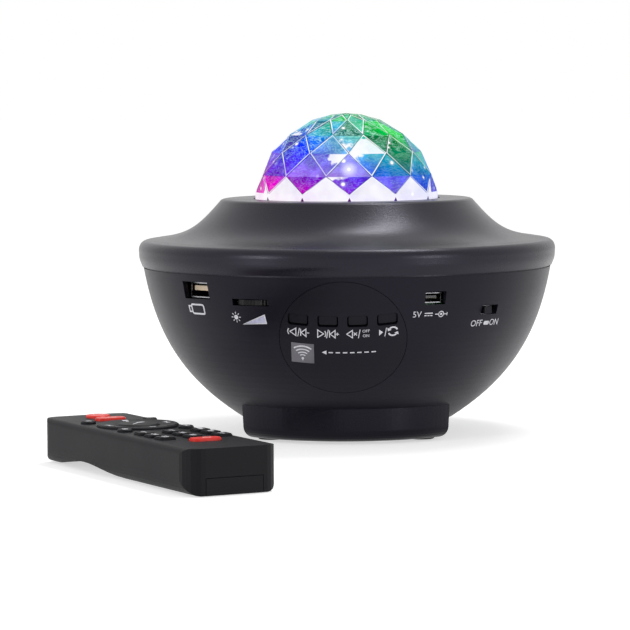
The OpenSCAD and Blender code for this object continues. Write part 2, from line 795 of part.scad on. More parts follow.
module switch_knob() color([0.1, 0.1, 0.1]) {
    at_side(switch_angle, switch_z) translate([knob_rest, 0, 0]) {
        block(knob_base_w, -switch_front + 1, -switch_front + 3.1, 2.8);
        block(knob_w, -switch_front - 1, -switch_front + 1.5, 2);
        block(knob_w, -bowl_r(switch_z) - 1, -switch_front - 0.4, knob_h);
    }
}

// ---------- dome ----------

// Corners of one ring of the dome
function dome_ring(r, z, turn) = [for (j = [0 : dome_sides - 1])
    let (a = -90 + dome_turn + 360 * j / dome_sides + turn) [r * cos(a), r * sin(a), z]];

module dome_solid(inset, bottom) {
    n = dome_sides;
    k = len(dome_rings);
    r = dome_sphere_r - inset;
    points = concat(
        dome_ring(r * cos(dome_low), bottom, 0),
        [for (i = [0 : k - 1]) each
            dome_ring(r * cos(dome_rings[i]), dome_centre + r * sin(dome_rings[i]), 180 / n * i)],
        [[0, 0, dome_centre + r]]);
    faces = concat(
        [[for (j = [0 : n - 1]) j]],
        [for (j = [0 : n - 1]) let (m = (j + 1) % n) each [[j, n + j, n + m], [j, n + m, m]]],
        [for (i = [1 : k - 1], j = [0 : n - 1]) let (m = (j + 1) % n, a = i * n, b = a + n)
            each [[a + j, b + j, a + m], [a + m, b + j, b + m]]],
        [for (j = [0 : n - 1]) [k * n + j, (k + 1) * n, k * n + (j + 1) % n]]);
    polyhedron(points = points, faces = faces);
}

module dome_lens() color([0.6, 0.8, 1, 0.5]) {
    difference() {
        dome_solid(0, flange_z);
        dome_solid(dome_wall, flange_z - cut);
    }
    translate([0, 0, flange_z]) difference() {
        cylinder(r = flange_r, h = flange_t);
        translate([0, 0, -cut]) cylinder(r = dome_base_r - dome_wall - 0.8, h = flange_t + 2 * cut);
    }
}

module dome_retainer() color([0.1, 0.1, 0.1]) {
    difference() {
        translate([0, 0, retainer_z]) union() {
            cylinder(r = flange_r + retainer_reach, h = retainer_t);
            at_ears() cylinder(r = 3.2, h = retainer_t);
        }
        translate([0, 0, retainer_z - cut]) cylinder(r = dome_base_r, h = retainer_t + 2 * cut);
        at_ears() translate([0, 0, retainer_z]) screw_hole(small_screw_r, retainer_t);
    }
}

// ---------- gears ----------

pressure_angle = 20;
tooth_out = 0.75;           // tooth tip above the pitch circle, in modules
tooth_in = 1;               // tooth root below the pitch circle, in modules

function involute(base, r) = let (a = acos(min(1, base / r))) tan(a) * 180 / PI - a;

// Half the angle that a tooth fills at the radius r
function half_tooth(teeth, r) = let (pitch = gear_module * teeth / 2, base = pitch * cos(pressure_angle))
    90 / teeth - tooth_play / pitch * 180 / PI + involute(base, pitch) - involute(base, max(r, base));

function gear_outline(teeth) = let (
        pitch = gear_module * teeth / 2,
        root = pitch - tooth_in * gear_module,
        low = max(pitch * cos(pressure_angle), root + 0.05),
        radii = [root, low, pitch, pitch + tooth_out * gear_module])
    [for (i = [0 : teeth - 1]) each concat(
        [for (r = radii) let (a = 360 * i / teeth - half_tooth(teeth, r)) r * [cos(a), sin(a)]],
        [for (r = reverse(radii)) let (a = 360 * i / teeth + half_tooth(teeth, r)) r * [cos(a), sin(a)]])];

// ---------- light and drive ----------

pinion_at = gear_module * (wave_teeth + pinion_teeth) / 2;
grating_at = pinion_at - gear_module * (pinion_teeth + grating_teeth) / 2;
deck_top = deck_z + deck_t;
wave_z = 84;                // underside of the wave plate's toothed ring
wave_ring_t = 3;
plate_t = 1.6;
plate_r = gear_module * wave_teeth / 2 - 3.5;
shoulder_z = wave_z - 3.2;
hub_z = shoulder_z + gap / 2;
clip_z = wave_z + 1 + plate_t + gap;
clip_t = 0.8;
motor_top = 72;
tower_wall = 1.8;
pinion_z = motor_top + 3.5;
shaft_r = 1;
nose_r = 5;
nose_z = 74;
nose_top = 80;
lamp_board_z = deck_top + 3.5;
lamp_board_r = 18;
lamp_at = 11;
lamp_angles = [45, 135, 225, 315];
main_board_z = 52;
standoffs = [34, 18];
standoff_r = 2.5;
lamp_post_r = 2.4;
wire_hole = [-30, 7];       // place and radius of the deck's hole for the wires

module at_standoffs() {
    for (x = [-1, 1], y = [-1, 1]) translate([x * standoffs[0], y * standoffs[1], 0]) children();
}

module at_lamp_posts() {
    for (a = [0, 180, 270]) rotate([0, 0, a]) translate([lamp_board_r - 3, 0, 0]) children();
}

module wave_plate() color([0.85, 0.92, 1, 0.5]) {
    difference() {
        union() {
            translate([0, 0, wave_z + 1]) cylinder(r = plate_r, h = plate_t);
            translate([0, 0, hub_z]) cylinder(r = spindle_r + 2.5, h = wave_z + 1 + plate_t - hub_z);
        }
        translate([0, 0, hub_z - cut]) cylinder(r = spindle_r + run_gap, h = 20);
    }
}

module wave_gear() color([0.9, 0.9, 0.88]) {
    translate([0, 0, wave_z]) difference() {
        rotate([0, 0, 90]) linear_extrude(wave_ring_t) polygon(gear_outline(wave_teeth));
        translate([0, 0, -cut]) cylinder(r = plate_r - 1.4, h = wave_ring_t + 2 * cut);
        translate([0, 0, 1]) cylinder(r = plate_r + slide_gap / 2, h = wave_ring_t);
    }
}

module spindle_clip() color([0.5, 0.5, 0.52]) {
    translate([0, 0, clip_z]) difference() {
        cylinder(r = spindle_r + 1.7, h = clip_t);
        translate([0, 0, -cut]) cylinder(r = spindle_r - 0.5, h = clip_t + 2 * cut);
    }
}

module motor_pinion() color([0.9, 0.9, 0.88]) {
    translate([0, pinion_at, 0]) {
        translate([0, 0, pinion_z]) rotate([0, 0, 90 + 180 / pinion_teeth])
            linear_extrude(wave_z + wave_ring_t - pinion_z) polygon(gear_outline(pinion_teeth));
        translate([0, 0, motor_top - 8])
            cylinder(r = shaft_r, h = pinion_z - motor_top + 8.5, $fn = small_fn);
    }
}

module drive_motor() color([0.7, 0.7, 0.72]) {
    translate([0, pinion_at, 0]) difference() {
        union() {
            translate([0, 0, motor_top - 20]) cylinder(r = motor_r, h = 20);
            translate([0, 0, motor_top - 22]) cylinder(r = 3, h = 2.5);
        }
        translate([0, 0, motor_top - 8 - gap]) cylinder(r = shaft_r + run_gap, h = 20, $fn = small_fn);
    }
}

module optical_deck() color([0.85, 0.85, 0.85]) {
    difference() {
        union() {
            translate([0, 0, deck_z]) cylinder(r = deck_r, h = deck_t);
            translate([0, 0, deck_z]) cylinder(r = spindle_r + 1.5, h = shoulder_z - deck_z);
            translate([0, 0, deck_z]) cylinder(r = spindle_r, h = clip_z + clip_t + 0.9 - deck_z);
            translate([0, pinion_at, deck_z])
                cylinder(r = motor_r + slide_gap + tower_wall, h = motor_top + 2 - deck_z);
            at_lamp_posts() translate([0, 0, deck_z]) cylinder(r = lamp_post_r, h = lamp_board_z - deck_z);
            at_standoffs() translate([0, 0, main_board_z])
                cylinder(r = standoff_r, h = deck_z - main_board_z + cut);
        }
        translate([0, pinion_at, deck_z - cut])
            cylinder(r = motor_r + slide_gap, h = motor_top - deck_z + cut);
        translate([0, pinion_at, deck_z]) cylinder(r = 3.4, h = 20);
        at_posts() translate([0, 0, deck_z]) screw_hole(case_screw_r, deck_t);
        at_lamp_posts() translate([0, 0, lamp_board_z + board_t])
            pilot(small_screw_r, small_screw_l + tip_room);
        at_standoffs() translate([0, 0, main_board_z - board_t])
            pilot_up(small_screw_r, small_screw_l + tip_room);
        translate([0, 0, clip_z - slide_gap / 2]) difference() {
            cylinder(r = spindle_r + 1, h = clip_t + slide_gap);
            translate([0, 0, -cut]) cylinder(r = spindle_r - 0.5 - run_gap, h = clip_t + 2 * cut + slide_gap);
        }
        translate([0, wire_hole[0], deck_z - cut]) cylinder(r = wire_hole[1], h = deck_t + 2 * cut);
    }
}

module lamp_board() color([0.9, 0.9, 0.9]) {
    translate([0, 0, lamp_board_z]) difference() {
        cylinder(r = lamp_board_r, h = board_t);
        translate([0, 0, -cut]) cylinder(r = spindle_r + 1.5 + gap, h = board_t + 2 * cut);
        at_lamp_posts() screw_hole(small_screw_r, board_t);
    }
}

module at_lamps() {
    for (a = lamp_angles) rotate([0, 0, a]) translate([lamp_at, 0, lamp_board_z + board_t]) children();
}

module lamp_emitters() color([1, 1, 0.9]) {
    at_lamps() {
        translate([-2.5, -2.5, 0]) cube([5, 5, 1]);
        translate([0, 0, 1]) cylinder(r = 1.8, h = 0.5);
    }
}

module lamp_lenses() color([0.9, 0.95, 1, 0.6]) {
    at_lamps() rotate_extrude() polygon(concat(
        [[4.3, 0], [5, 0], [5.2, 2.5], [6, 6.5], [6, 7.2]],
        [for (a = [15 : 15 : 75]) [5.5 * cos(a), 7.2 + 1.5 * sin(a)]],
        [[0, 8.7], [0, 3.4], [2.5, 3.4], [4.3, 2.2]]));
}

module laser_module() color([0.75, 0.6, 0.3]) {
    translate([0, grating_at, 0]) difference() {
        union() {
            translate([0, 0, deck_top]) cylinder(r = 5.8, h = nose_z - deck_top);
            translate([0, 0, nose_z - cut]) cylinder(r = nose_r, h = nose_top - nose_z + cut);
        }
        translate([0, 0, deck_top + 4]) cylinder(r = 2.2, h = 30);
    }
}

module grating_gear() color([0.85, 0.9, 0.95]) {
    gear_z = nose_z + 2.2;      // underside of the teeth
    translate([0, grating_at, 0]) {
        difference() {
            union() {
                translate([0, 0, gear_z]) rotate([0, 0, 90])
                    linear_extrude(3) polygon(gear_outline(grating_teeth));
                translate([0, 0, nose_z + gap / 2]) cylinder(r = nose_r + 1.3, h = nose_top - nose_z);
            }
            translate([0, 0, nose_z - cut]) cylinder(r = nose_r + run_gap, h = 20);
        }
        translate([0, 0, nose_top + gap / 2]) cylinder(r = nose_r + 1.3, h = 0.8);
    }
}

module main_board() color([0.1, 0.35, 0.2]) {
    half = standoffs + [4, 4];
    difference() {
        translate([-half[0], -half[1], main_board_z - board_t]) cube([2 * half[0], 2 * half[1], board_t]);
        at_standoffs() translate([0, 0, main_board_z - board_t]) screw_hole(small_screw_r, board_t);
    }
    under = main_board_z - board_t;
    translate([-7, -7, under - 1.6]) cube([12, 12, 1.6]);
    translate([14, -4, under - 1.2]) cube([8, 10, 1.2]);
    translate([-24, 8, under - 9]) cylinder(r = 4, h = 9);
    translate([-24, -6, under - 9]) cylinder(r = 4, h = 9);
    translate([24, 12, under - 5]) cylinder(r = 4, h = 5);
    for (x = [-16, 0, 14]) translate([x, -21, under - 5]) cube([8, 5, 5]);
}

// ---------- speaker, firing down ----------

speaker_t = 1.8;
magnet_r = 18;
cone_z = floor_top + cone_travel + 0.4;
basket_r = speaker_screw_at - case_head[0] - gap;

module speaker_frame() color([0.35, 0.35, 0.37]) {
    difference() {
        translate([0, 0, floor_top]) rotate_extrude() polygon([[sound_r - 0.5, 0], [speaker_r, 0],
            [speaker_r, speaker_t], [basket_r, speaker_t], [basket_r, 5], [magnet_r, 13],
            [magnet_r, 21], [0, 21], [0, 15], [6.5, 15], [6.5, 20], [8.5, 20], [8.5, 13.5],
            [magnet_r - 1.5, 12],
            [sound_r - 0.5, 4.6]]);
        at_speaker_screws() translate([0, 0, floor_top]) screw_hole(case_screw_r, speaker_t);
    }
}

module speaker_cone() color([0.1, 0.1, 0.1]) {
    edge = sound_r - 0.5 - gap;
    translate([0, 0, cone_z]) rotate_extrude() polygon([[edge, 0], [edge, 0.8], [edge - 2, 0.9], [7.8, 9.4],
        [7.8, 14], [7.2, 14], [7.2, 7.6], [5, 6.4], [0, 5.4], [0, 4.6], [5, 5.5], [8, 7], [edge - 2.5, 0.2]]);
}

// ---------- remote control, in its own frame: x from the front end, y across ----------

remote_at = [-66, -150];
remote_turn = -60;
remote_corner = 7;          // radius of the case's upright corners
remote_split = 9;           // height of the seam between the two cases
remote_inside = remote_h - remote_wall;
key_lip_t = 0.8;
remote_board_top = remote_inside - key_lip_t - key_travel - gap;
remote_board_t = 1;
battery_floor = remote_wall + gap;
battery_z = battery_floor + battery_r;
battery_rear = 54;          // from the batteries' front end to the case's rear end
battery_x = remote_l / 2 - battery_rear;
battery_wall = 1.5;         // cross walls at both ends of the batteries
door_x = battery_x - 4;
door_w = 22;
door_top = 6;

module at_remote() {
    translate([remote_at[0], remote_at[1], 0]) rotate([0, 0, remote_turn]) children();
}

waist_x = 38 - remote_l / 2;
waist_reach = 34;
remote_low_round = 5;       // radii of the case's long edges
remote_top_round = 2.2;

module remote_fill(inset) {
    l = remote_l - 2 * inset;
    w = remote_w - 2 * inset;
    intersection() {
        translate([0, 0, inset]) linear_extrude(remote_h - 2 * inset)
            polygon(round_rect(l, w, remote_corner - inset));
        rotate([90, 0, 0]) translate([0, 0, -remote_w]) linear_extrude(2 * remote_w) polygon(concat(
            [[remote_l, inset], [remote_l, remote_h], [-remote_l, remote_h], [-remote_l, inset]],
            [for (i = [0 : 16]) let (t = i / 8 - 1)
                [waist_x + t * waist_reach, inset + waist_h * pow(cos(90 * t), 2)]]));
        rotate([90, 0, 90]) translate([0, 0, -remote_l]) linear_extrude(2 * remote_l)
            polygon(remote_section(w, inset));
    }
}

// Across the case: the lower edges are rounder than the upper ones
function remote_section(w, inset) = let (
        low = remote_low_round - inset,
        high = remote_top_round - inset * 1.3,
        top = remote_h - inset)
    concat(
        [for (a = [0 : 15 : 90]) [w / 2 - high * (1 - cos(a)), top - high * (1 - sin(a))]],
        [for (a = [90 : 15 : 180]) [-w / 2 + high * (1 + cos(a)), top - high * (1 - sin(a))]],
        [for (a = [180 : 15 : 270]) [-w / 2 + low * (1 + cos(a)), inset + low * (1 + sin(a))]],
        [for (a = [270 : 15 : 360]) [w / 2 - low * (1 - cos(a)), inset + low * (1 + sin(a))]]);

// Places of the keys, from the front end and from the far side
function key_place(u, v) = [u - remote_l / 2, remote_w / 2 - v];
power_place = key_place(11.2, 17.5);
source_place = key_place(22.2, 17.5);
colour_place = key_place(102, 17.5);
ring_place = key_place(46.5, 17.5);
round_places = [key_place(31, 5.5), key_place(30, 30), key_place(62, 5.5), key_place(62, 30)];
grid_places = [for (u = [75, 83.5, 92], v = [6, 17.3, 28.3]) key_place(u, v)];
power_r = 4.6;
oblong_key = [6, 12];
oblong_round = 2.9;
ring_r = 15;
centre_r = 8;
round_r = 2.8;
square_round = 1.2;
key_gap = slide_gap;
key_lip = 0.6;              // how far a key's lip reaches under the case
key_edge = 0.35;            // step round the top of a key
key_top = key_lip_t + remote_wall + key_proud; // height of a key above its lip's underside

module remote_shell() {
    difference() {
        remote_fill(0);
        remote_fill(remote_wall);
    }
}

module key_hole(place) {
    translate([place[0], place[1], remote_inside - cut]) linear_extrude(remote_wall + 2 * cut) children();
}

module oblong(grow) {
    polygon(round_rect(oblong_key[0] + 2 * grow, oblong_key[1] + 2 * grow, oblong_round + grow));
}

module square_shape(grow) {
    polygon(round_rect(square_key + 2 * grow, square_key + 2 * grow, square_round + grow));
}

board_posts = [for (x = [15 - remote_l / 2, battery_x - 7], y = [-12, 12]) [x, y]];
board_ends = [5, 6];        // from the case's front and rear ends to the board
board_side = 3.5;           // from the case's sides to the board
lamp_z = 9.5;               // height of the remote's infrared lamp

module remote_top_case() color([0.1, 0.1, 0.12]) {
    at_remote() difference() {
        intersection() {
            remote_shell();
            translate([-remote_l, -remote_w, remote_split]) cube([2 * remote_l, 2 * remote_w, far]);
        }
        key_hole(power_place) circle(r = power_r + key_gap);
        key_hole(ring_place) circle(r = ring_r + key_gap);
        for (p = round_places) key_hole(p) circle(r = round_r + key_gap, $fn = small_fn);
        for (p = [source_place, colour_place]) key_hole(p) oblong(key_gap);
        for (p = grid_places) key_hole(p) square_shape(key_gap);
        remote_lamp_hole();
    }
}

module remote_lamp_hole() {
    translate([-remote_l / 2 - cut, 0, lamp_z]) rotate([0, 90, 0])
        cylinder(r = 2.5, h = remote_wall + 2 * cut);
}

module remote_bottom_case() color([0.1, 0.1, 0.12]) {
    inner_w = remote_w - remote_wall;
    at_remote() difference() {
        union() {
            difference() {
                intersection() {
                    remote_shell();
                    translate([-remote_l, -remote_w, -cut])
                        cube([2 * remote_l, 2 * remote_w, remote_split + cut]);
                }
                translate([door_x, -door_w / 2 - slide_gap, -cut])
                    cube([remote_l, door_w + 2 * slide_gap, door_top + slide_gap + cut]);
            }
            intersection() {
                remote_fill(remote_wall / 2);
                union() {
                    for (x = [battery_x - battery_wall - 1.5, battery_x + battery_l + 1.4])
                        translate([x, -inner_w / 2, battery_floor])
                            cube([battery_wall, inner_w, remote_split - battery_floor]);
                    for (p = board_posts) translate([p[0], p[1], 0])
                        cylinder(r = 2, h = remote_board_top - remote_board_t, $fn = small_fn);
                }
            }
        }
        remote_lamp_hole();
    }
}

module battery_door() color([0.1, 0.1, 0.12]) {
    at_remote() difference() {
        intersection() {
            remote_shell();
            translate([door_x + slide_gap, -door_w / 2, -cut]) cube([remote_l, door_w, door_top + cut]);
        }
        for (i = [0 : 2]) translate([door_x + 4 + 2.4 * i, -5, -cut]) cube([1, 10, cut + 0.4]);
    }
}

module remote_board() color([0.1, 0.35, 0.2]) {
    low = remote_board_top - remote_board_t;
    at_remote() {
        translate([board_ends[0] - remote_l / 2, board_side - remote_w / 2, low])
            cube([remote_l - board_ends[0] - board_ends[1], remote_w - 2 * board_side, remote_board_t]);
        for (x = [battery_x - 0.6, battery_x + battery_l + 0.1]) translate([x, -11, 2.6])
            cube([0.5, 22, low - 2.5]);
        translate([-remote_l / 2 - 0.5, 0, lamp_z]) rotate([0, 90, 0]) cylinder(r = 2.3, h = 7);
        translate([-remote_l / 2 + 4.9, -1.5, lamp_z]) cube([1, 3, low - lamp_z + 0.1]);
    }
}

module remote_batteries() color([0.2, 0.4, 0.25]) {
    at_remote() for (s = [-1, 1])
        translate([battery_x, s * (battery_r + gap / 2), battery_z]) rotate([0, 90, 0]) {
            cylinder(r = battery_r, h = battery_l - 1);
            translate([0, 0, battery_l - 1.1]) cylinder(r = 1.9, h = 1.1);
        }
}

// A key from its lip under the case to its top, with a slightly smaller top face
module round_key(place, r) {
    at_remote() translate([place[0], place[1], remote_inside - key_lip_t]) rotate_extrude() polygon([
        [0, 0], [r + key_lip, 0], [r + key_lip, key_lip_t], [r, key_lip_t], [r, key_top - 0.4],
        [r - 0.4, key_top], [0, key_top]]);
}

// The children are the outlines of the key's sides, of its top face and of its lip
module flat_key(place) {
    at_remote() translate([place[0], place[1], remote_inside - key_lip_t]) {
        linear_extrude(key_top - key_edge) children(0);
        linear_extrude(key_top) children(1);
        linear_extrude(key_lip_t) children(2);
    }
}

module oblong_key_at(place) {
    flat_key(place) {
        oblong(0);
        oblong(-key_edge);
        oblong(key_lip);
    }
}

module key_power() color([0.8, 0.1, 0.08]) round_key(power_place, power_r);
module key_source() color([0.8, 0.1, 0.08]) oblong_key_at(source_place);
module key_colour() color([0.8, 0.1, 0.08]) oblong_key_at(colour_place);

module key_ring() color([0.12, 0.12, 0.13]) {
    inner = centre_r + key_gap;
    at_remote() translate([ring_place[0], ring_place[1], remote_inside - key_lip_t])
        rotate_extrude() polygon([
            [inner, 0], [ring_r + key_lip, 0], [ring_r + key_lip, key_lip_t], [ring_r, key_lip_t],
            [ring_r, key_top - 0.4], [ring_r - 0.6, key_top], [inner + 1.2, key_top - 0.4],
            [inner, key_top - 0.6]]);
}

module key_centre() color([0.12, 0.12, 0.13]) {
    at_remote() translate([ring_place[0], ring_place[1], remote_inside - key_lip_t])
        rotate_extrude() polygon([
            [0, 0], [centre_r, 0], [centre_r, key_top - 0.6], [centre_r - 0.8, key_top],
            [0, key_top + 0.2]]);
}

module grid_key(i) color([0.12, 0.12, 0.13]) {
    flat_key(grid_places[i]) {
        square_shape(0);
        square_shape(-key_edge);
        square_shape(key_lip);
    }
}

// ---------- the assembly ----------

upper_housing();
lower_housing();
foot_base();
rubber_feet();
housing_screws();
case_screws();
small_screws();
control_panel();
receiver_window();
button_previous();
button_next();
button_mute();
button_repeat();
control_board();
media_socket();
left_board();
dimmer_wheel();
power_inlet();
right_board();
switch_body();
switch_knob();
dome_lens();
dome_retainer();
wave_plate();
wave_gear();
spindle_clip();
motor_pinion();
drive_motor();
optical_deck();
lamp_board();
lamp_emitters();
lamp_lenses();
laser_module();
grating_gear();
main_board();
speaker_frame();
speaker_cone();
remote_top_case();
remote_bottom_case();
battery_door();
remote_board();
remote_batteries();
key_power();
key_source();
key_colour();
key_ring();
key_centre();
for (i = [0 : 3])
    color([0.12, 0.12, 0.13]) round_key(round_places[i], round_r);
for (i = [0 : 8])
    grid_key(i);
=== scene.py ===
# The looks of the star night light projector and its remote control, in metres, in the CAD model's frame.
import bmesh
import bpy
import math
import random
from mathutils import Matrix, Vector
from mathutils.bvhtree import BVHTree


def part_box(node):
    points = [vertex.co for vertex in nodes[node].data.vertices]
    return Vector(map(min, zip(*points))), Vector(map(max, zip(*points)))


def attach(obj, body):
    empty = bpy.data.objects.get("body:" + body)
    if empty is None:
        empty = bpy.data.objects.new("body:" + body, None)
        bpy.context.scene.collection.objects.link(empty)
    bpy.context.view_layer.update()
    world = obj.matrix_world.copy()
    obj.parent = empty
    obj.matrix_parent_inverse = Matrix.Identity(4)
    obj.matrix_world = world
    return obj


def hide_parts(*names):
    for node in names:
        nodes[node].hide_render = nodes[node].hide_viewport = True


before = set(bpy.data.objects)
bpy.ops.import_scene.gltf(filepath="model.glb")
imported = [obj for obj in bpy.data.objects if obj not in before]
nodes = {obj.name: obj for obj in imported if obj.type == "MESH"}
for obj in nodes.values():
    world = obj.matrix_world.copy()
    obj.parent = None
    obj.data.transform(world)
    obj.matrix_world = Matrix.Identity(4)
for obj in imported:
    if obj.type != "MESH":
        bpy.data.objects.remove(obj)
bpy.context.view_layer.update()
MM = 0.001
ROOT = "projector"


def placed(name, data):
    """A new object with that data, in the scene."""
    thing = bpy.data.objects.new(name, data)
    bpy.context.scene.collection.objects.link(thing)
    return thing


def mesh_of(name, bm):
    """The bmesh as a mesh; the bmesh is freed."""
    mesh = bpy.data.meshes.new(name)
    bm.to_mesh(mesh)
    bm.free()
    return mesh


# ---------- camera, from pixel places in the square picture ----------

PICTURE = 630               # side of the picture
FOCAL_PX = 3315             # focal length
AXIS_PX = 347.3             # where the bowl's middle axis falls, from the left
HORIZON_PX = 73             # where the horizon falls, from the top
SENSOR = 36                 # width of the sensor, in millimetres
DISTANCE = 1.342            # from the bowl's axis to the eye, in metres
EYE_HEIGHT = 0.1451
AZIMUTH = math.radians(1.3)         # the eye's turn about the bowl's axis, to the right
ROLL = math.radians(-0.35)


def make_camera():
    data = bpy.data.cameras.new("camera")
    data.sensor_width = SENSOR
    data.lens = SENSOR * FOCAL_PX / PICTURE
    camera = placed("camera", data)
    yaw = AZIMUTH + math.atan((AXIS_PX - PICTURE / 2) / FOCAL_PX)
    pitch = math.atan((PICTURE / 2 - HORIZON_PX) / FOCAL_PX)
    place = Vector((DISTANCE * math.sin(AZIMUTH), -DISTANCE * math.cos(AZIMUTH), EYE_HEIGHT))
    camera.matrix_world = (Matrix.Translation(place) @ Matrix.Rotation(yaw, 4, "Z")
                           @ Matrix.Rotation(math.pi / 2 - pitch, 4, "X") @ Matrix.Rotation(ROLL, 4, "Z"))
    bpy.context.scene.camera = camera


make_camera()

# ---------- colours and node helpers ----------


def srgb(r, g, b):
    """A colour given in 8-bit sRGB, as the linear RGBA that shaders take."""
    def linear(v):
        v /= 255
        return v / 12.92 if v <= 0.04045 else ((v + 0.055) / 1.055) ** 2.4
    return (linear(r), linear(g), linear(b), 1)


class Shader:
    """A material's node tree with a Principled shader, and short calls that add nodes to it."""

    def __init__(self, name, **sockets):
        self.material = bpy.data.materials.new(name)
        self.material.use_nodes = True
        self.tree = self.material.node_tree
        self.main = self.tree.nodes["Principled BSDF"]
        self.set(**sockets)
        self.place = self.add("ShaderNodeTexCoord").outputs["Object"]

    def set(self, **sockets):
        for name, value in sockets.items():
            self.main.inputs[name.replace("_", " ")].default_value = value

    def add(self, kind, **settings):
        node = self.tree.nodes.new(kind)
        for name, value in settings.items():
            setattr(node, name, value)
        return node

    def feed(self, value, socket):
        if isinstance(value, (int, float, tuple)):
            socket.default_value = value
        else:
            self.tree.links.new(value, socket)

    def link(self, value, name):
        self.feed(value, self.main.inputs[name])

    def noise(self, scale, detail=2.0, rough=0.5, place=None, distort=0.0):
        node = self.add("ShaderNodeTexNoise")
        self.feed(place or self.place, node.inputs["Vector"])
        node.inputs["Scale"].default_value = scale
        node.inputs["Detail"].default_value = detail
        node.inputs["Roughness"].default_value = rough
        node.inputs["Distortion"].default_value = distort
        return node.outputs["Fac"]

    def math(self, operation, a, b=0.0, c=0.0):
        node = self.add("ShaderNodeMath", operation=operation)
        for value, socket in zip((a, b, c), node.inputs):
            self.feed(value, socket)
        return node.outputs[0]

    def span(self, value, low, high, to_low=0.0, to_high=1.0):
        node = self.add("ShaderNodeMapRange", interpolation_type="SMOOTHSTEP")
        self.feed(value, node.inputs["Value"])
        for name, number in (("From Min", low), ("From Max", high), ("To Min", to_low), ("To Max", to_high)):
            node.inputs[name].default_value = number
        return node.outputs["Result"]

    def mix(self, factor, a, b, blend="MIX"):
        node = self.add("ShaderNodeMix", data_type="RGBA", blend_type=blend)
        self.feed(factor, node.inputs[0])
        self.feed(a, node.inputs[6])
        self.feed(b, node.inputs[7])
        return node.outputs[2]

    def ramp(self, value, stops):
        node = self.add("ShaderNodeValToRGB")
        self.feed(value, node.inputs["Fac"])
        band = node.color_ramp.elements
        while len(band) < len(stops):
            band.new(0.5)
        for element, (at, colour) in zip(band, stops):
            element.position = at
            element.color = colour
        return node.outputs["Color"]

    def along(self, direction):
        """How far the place lies along a direction, in metres."""
        dot = self.add("ShaderNodeVectorMath", operation="DOT_PRODUCT")
        self.feed(self.place, dot.inputs[0])
        dot.inputs[1].default_value = direction
        return dot.outputs["Value"]

    def stretched(self, *scale):
        """The place with its axes scaled."""
        node = self.add("ShaderNodeMapping")
        node.inputs["Scale"].default_value = scale
        self.feed(self.place, node.inputs["Vector"])
        return node.outputs["Vector"]

    def cells(self, scale, **settings):
        node = self.add("ShaderNodeTexVoronoi", feature="F1", **settings)
        node.inputs["Scale"].default_value = scale
        self.feed(self.place, node.inputs["Vector"])
        return node

    def bump(self, height, strength, distance=0.0001):
        """distance is the bump's depth in metres."""
        node = self.add("ShaderNodeBump")
        node.inputs["Strength"].default_value = strength
        node.inputs["Distance"].default_value = distance
        self.feed(height, node.inputs["Height"])
        self.link(node.outputs["Normal"], "Normal")


# scales of the patterns, in repeats a metre
CLOUDS = 35
STREAKS = 400
FLOW = 60
TRACES = 260
INK_COVER = 900
SMOKE = srgb(22, 17, 28)    # colour of the remote's infrared lamp


def faded(colour, factor):
    """The colour times a factor, at most white."""
    return tuple(min(1, c * factor) for c in colour[:3]) + (1,)


def moulded(name, colour, rough, grain=0.35, grain_size=2200, mottle=0.12, specular=0.5, tint=(1, 1, 1, 1)):
    """Moulded plastic: fine spark-eroded grain, faint cloudiness in colour and gloss."""
    s = Shader(name, Specular_IOR_Level=specular, Specular_Tint=tint)
    cloud = s.noise(CLOUDS, 3)
    s.link(s.mix(s.span(cloud, 0.35, 0.65), faded(colour, 1 - mottle), faded(colour, 1 + mottle)), "Base Color")
    fine = s.noise(grain_size, 2, 0.6)
    s.link(s.span(s.math("ADD", s.math("MULTIPLY", cloud, 0.4), s.math("MULTIPLY", fine, 0.6)),
                  0.3, 0.7, rough - 0.05, rough + 0.05), "Roughness")
    s.bump(fine, grain)
    return s.material


def metal(name, colour, rough):
    """Drawn or rolled metal with faint streaks."""
    s = Shader(name, Metallic=1.0)
    lines = s.noise(STREAKS, 3, 0.6, s.stretched(1, 1, 8))
    s.link(s.mix(s.span(lines, 0.3, 0.7), faded(colour, 0.8), colour), "Base Color")
    s.link(s.span(lines, 0.3, 0.7, rough - 0.08, rough + 0.1), "Roughness")
    s.bump(lines, 0.15)
    return s.material


def clear(name, tint, rough=0.02, ior=1.47):
    """Clear moulded plastic with a slight unevenness."""
    s = Shader(name, Transmission_Weight=1.0, IOR=ior, Base_Color=tint, Specular_IOR_Level=0.12)
    flow = s.noise(FLOW, 1)
    s.link(s.span(flow, 0.3, 0.7, rough, rough + 0.02), "Roughness")
    s.bump(flow, 0.05, 0.0002)
    return s.material


def circuit(name, mask, copper, lamp=None):
    """A board with traces that show through its solder mask, and a smoky lamp up to a place along an axis."""
    s = Shader(name, Roughness=0.35)
    rings = s.math("PINGPONG", s.cells(TRACES, distance="CHEBYCHEV").outputs["Distance"], 0.12)
    traces = s.span(rings, 0.07, 0.09)
    colour = s.mix(traces, mask, copper)
    if lamp:
        axis, end = lamp
        colour = s.mix(s.math("LESS_THAN", s.along(axis), end), colour, SMOKE)
    s.link(colour, "Base Color")
    s.bump(traces, 0.3)
    return s.material


def print_ink(name, colour):
    """Pad-printed ink: thin, slightly uneven in cover."""
    s = Shader(name, Specular_IOR_Level=0.3)
    cover = s.noise(INK_COVER, 2)
    s.link(s.mix(s.span(cover, 0.25, 0.6), faded(colour, 0.8), colour), "Base Color")
    s.link(s.span(cover, 0.3, 0.7, 0.45, 0.6), "Roughness")
    return s.material


# ---------- materials of the CAD nodes ----------

